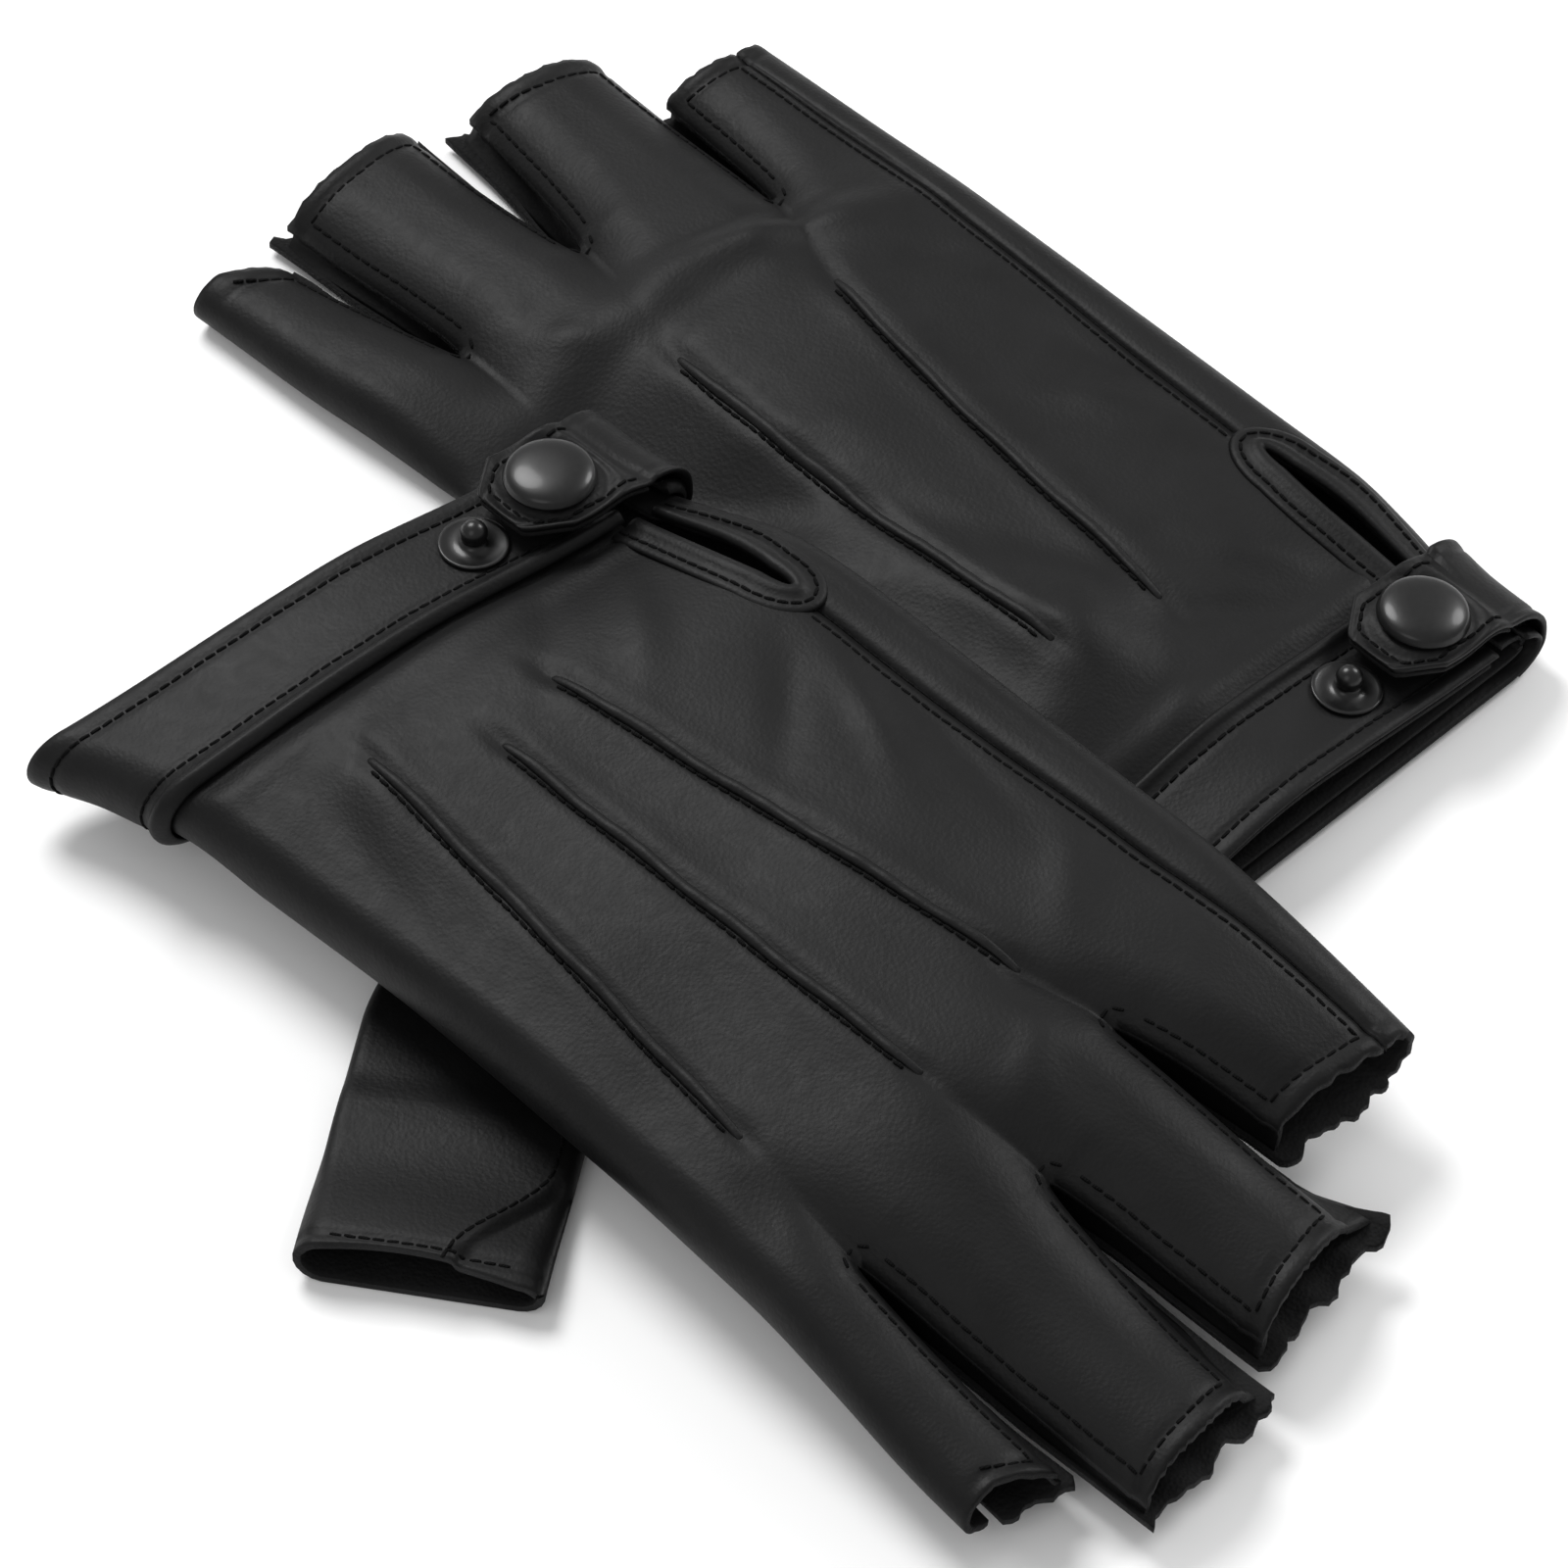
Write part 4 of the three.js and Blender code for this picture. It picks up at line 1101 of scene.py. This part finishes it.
def stitches(name, lines, body):
    """Each line is surface points and the points just above them, and becomes a row of stitches."""
    shape, shape_faces = stitch_shape()
    points, faces = [], []
    for path, above in lines:
        both = np.column_stack([path, above])
        spots = resample(both, STITCH_PITCH)
        ahead = resample(both, STITCH_PITCH / 8)
        for k, row in enumerate(spots):
            here, normal = row[:3], row[3:] - row[:3]
            i = int(np.argmin(np.linalg.norm(ahead[:, :3] - here, axis=1)))
            i0, i1 = max(i - 2, 0), min(i + 2, len(ahead) - 1)
            along = ahead[i1, :3] - ahead[i0, :3]
            along /= np.linalg.norm(along)
            normal -= along * np.dot(along, normal)
            normal /= np.linalg.norm(normal)
            across = np.cross(normal, along)
            slant = 0.10 * math.sin(7.3 * k)
            along, across = along + across * slant, across - along * slant
            n = len(points) * len(shape)
            scale = shape * (STITCH_LENGTH, STITCH_WIDTH, STITCH_WIDTH)
            points.append(here + scale[:, :1] * along + scale[:, 1:2] * across + scale[:, 2:] * normal)
            faces += [tuple(i + n for i in f) for f in shape_faces]
    finish_piece(name, np.concatenate(points), faces, [THREAD], [0] * len(faces), body)


def back_line(g, u, v, off=0.02):
    return on_back(g, u, v, off), on_back(g, u, v, off + 1)


def slit_lines(g):
    """Down both sides of every slit between two fingers, and round its crotch."""
    lines = []
    for index, s in enumerate(g["slits"]):
        for after in (False, True):
            end = g["tips"][index + 1][0] if after else g["tips"][index][1]
            u = np.arange(s["crotch"] + 2.5, end - HEM, LINE_STEP)
            v = slit_side(g, s, u, after, False) + (SIDE_STITCH if after else -SIDE_STITCH)
            lines.append(back_line(g, u, v))
        a = 1.3 * np.linspace(-1, 1, 24)
        centre = s["crotch"] + 1.2
        lines.append(back_line(g, centre - 2.6 * np.cos(a), s["line"](s["crotch"]) + 1.9 * np.sin(a)))
    return lines


def hem_lines(g):
    """Along the fingers' raw edges, from side to side."""
    lines = []
    slits = g["slits"]
    for finger, (a, b) in enumerate(g["tips"]):
        low = slit_side(g, slits[finger - 1], a - HEM, True, False) if finger else g["seam"](a)
        thumb_side = thumb_edge(b) - EDGE + SIDE_STITCH
        high = slit_side(g, slits[finger], b - HEM, False, False) if finger < 3 else thumb_side
        q = np.linspace(0, 1, 40)
        lines.append(back_line(g, mix(a, b, q) - HEM, mix(low + SIDE_STITCH, high - SIDE_STITCH, q)))
    return lines


def cuff_lines(g):
    """Round the vent, and twice round the band."""
    path = vent_path(g, 2.3)
    lines = [tuple(on_shell(g, path[:, 0], path[:, 1], off) for off in (0.6, 1.6))]
    stations = cuff_stations(g, 60)
    face = BAND_GAP + STRAP - 0.22
    for u in BAND_STITCHES:
        rows = (np.array([at(np.array([u]), off)[0] for at in stations]) for off in (face, face + 1))
        lines.append(tuple(rows))
    return lines


def tuck_lines(g):
    """Beside the ridges down the back of the hand."""
    lines = []
    for s, (u0, u1) in zip(g["slits"], g["tucks"]):
        u = np.linspace(u0 + 2, u1 - 2, 120)
        lines.append(back_line(g, u, s["line"](u) + 1.25, 0.1))
    return lines


def thumb_lines(g):
    """Along the thumb's raw edge, and along its lap."""
    around = np.linspace(0.02, 0.41, 60)
    hem = THUMB_REACH - HEM + 0 * around
    s = np.linspace(3, THUMB_REACH - 1, 60)
    lap = THUMB_TOP * (1 - (lap_line(s) - 0.12)) / 2
    return [tuple(thumb_skin(g, *spots, off) for off in (0.02, 1.0)) for spots in ((around, hem), (lap, s))]


def glove_stitches(g):
    side = g["side"]
    u = np.arange(VENT_END + 5, g["tips"][0][0] - HEM, LINE_STEP)
    lines = [back_line(g, u, g["seam"](u) + SIDE_STITCH)]
    lines += slit_lines(g) + hem_lines(g) + cuff_lines(g) + tuck_lines(g) + thumb_lines(g)
    stitches(side + "_glove_stitching", lines, side + "_glove")


def tab_stitches(g):
    rim = []
    for sign in (-1, 1):
        v = np.linspace(7, TAB_TIP - TAB_STITCH, 60)
        rim.append(np.column_stack([TAB_MIDDLE + sign * (tab_half(v, 0) - TAB_STITCH), v]))
    u, v = resample(np.concatenate([rim[0], rim[1][::-1]]), 0.4).T
    high = LINING + GAP + STRAP
    line = tuple(tab_surface(g, u, v, off) for off in (high - 0.1, high + 1))
    stitches(g["side"] + "_tab_stitching", [line], g["side"] + "_tab")


def tucks(g):
    """The pinched ridges down the back of the hand."""
    side = g["side"]
    for number, (s, (u0, u1)) in enumerate(zip(g["slits"], g["tucks"])):
        u = np.linspace(u0, u1, 150)
        q = (u - u0) / (u1 - u0)
        swell = np.sqrt(np.clip(1 - np.abs(2 * q - 1) ** 8, 0, 1)) * (1 + 0.05 * np.sin(1.3 * u + number))
        v = s["line"](u) + 0.12 * np.sin(0.35 * u + 2 * number)
        sections = []
        for a in np.linspace(0, 2 * math.pi, 18, endpoint=False):
            across = 0.85 * math.cos(a) * (0.35 + 0.65 * swell)
            height = (0.95 * math.sin(a) * swell if a < math.pi else 0.5 * math.sin(a)) - 0.05
            sections.append(on_back(g, u, v + across, height))
        sections = np.array(sections).transpose(1, 0, 2)
        swept("%s_tuck_%d" % (side, number + 1), sections, side + "_glove")


def make_glove(g):
    back_panel(g)
    palm_panel(g)
    for index, name in enumerate(("little_ring", "ring_middle", "middle_index")):
        fourchette(g, index, name)
    thumb(g)
    cuff_band(g)
    cuff_facing(g)
    vent_binding(g)
    closing_tab(g)
    snaps(g)
    tucks(g)
    glove_stitches(g)
    tab_stitches(g)


# ---- Stage ----

def stage():
    floor_mesh = bpy.data.meshes.new("floor")
    size = 4.0
    corners = [(-size, -size, 0), (size, -size, 0), (size, size, 0), (-size, size, 0)]
    floor_mesh.from_pydata(corners, [], [(0, 1, 2, 3)])
    floor = bpy.data.objects.new("floor", floor_mesh)
    floor.location.z = cad_low[2] - 0.0002
    bpy.context.scene.collection.objects.link(floor)
    m = Material("pale_floor", 0.1)
    m.shader["Base Color"].default_value = (0.93, 0.93, 0.93, 1)
    m.shader["Roughness"].default_value = 0.9
    floor_mesh.materials.append(m.made)
    floor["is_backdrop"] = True


def aim(obj, target):
    obj.rotation_euler = (Vector(target) - obj.location).to_track_quat("-Z", "Y").to_euler()


def light(name, location, size, power):
    data = bpy.data.lights.new(name, "AREA")
    data.shape = "DISK"
    data.size = size
    data.energy = power
    lamp = bpy.data.objects.new(name, data)
    lamp.location = location
    bpy.context.scene.collection.objects.link(lamp)
    aim(lamp, (0, 0, 0))


def lighting():
    world = bpy.data.worlds.new("studio")
    world.use_nodes = True
    world.node_tree.nodes["Background"].inputs["Color"].default_value = (1, 1, 1, 1)
    world.node_tree.nodes["Background"].inputs["Strength"].default_value = 0.55
    bpy.context.scene.world = world
    light("key", (-0.75, 0.15, 1.0), 0.6, 12)
    light("rim", (0.15, 1.1, 0.75), 0.5, 7)
    light("front", (0.3, -0.9, 0.9), 0.8, 2)
    bpy.context.scene.view_settings.view_transform = "Standard"


def camera():
    azimuth, elevation, distance = math.radians(46), math.radians(50), 1.05
    data = bpy.data.cameras.new("camera")
    data.sensor_width = 36
    data.lens = 185.5
    cam = bpy.data.objects.new("camera", data)
    target = (0.0005, 0.0054, 0)
    cam.location = (
        target[0] + distance * math.sin(azimuth) * math.cos(elevation),
        target[1] - distance * math.cos(azimuth) * math.cos(elevation),
        distance * math.sin(elevation))
    bpy.context.scene.collection.objects.link(cam)
    aim(cam, target)
    bpy.context.scene.camera = cam


camera()
lighting()
stage()
for g in (RIGHT, LEFT):
    make_glove(g)

low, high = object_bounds()
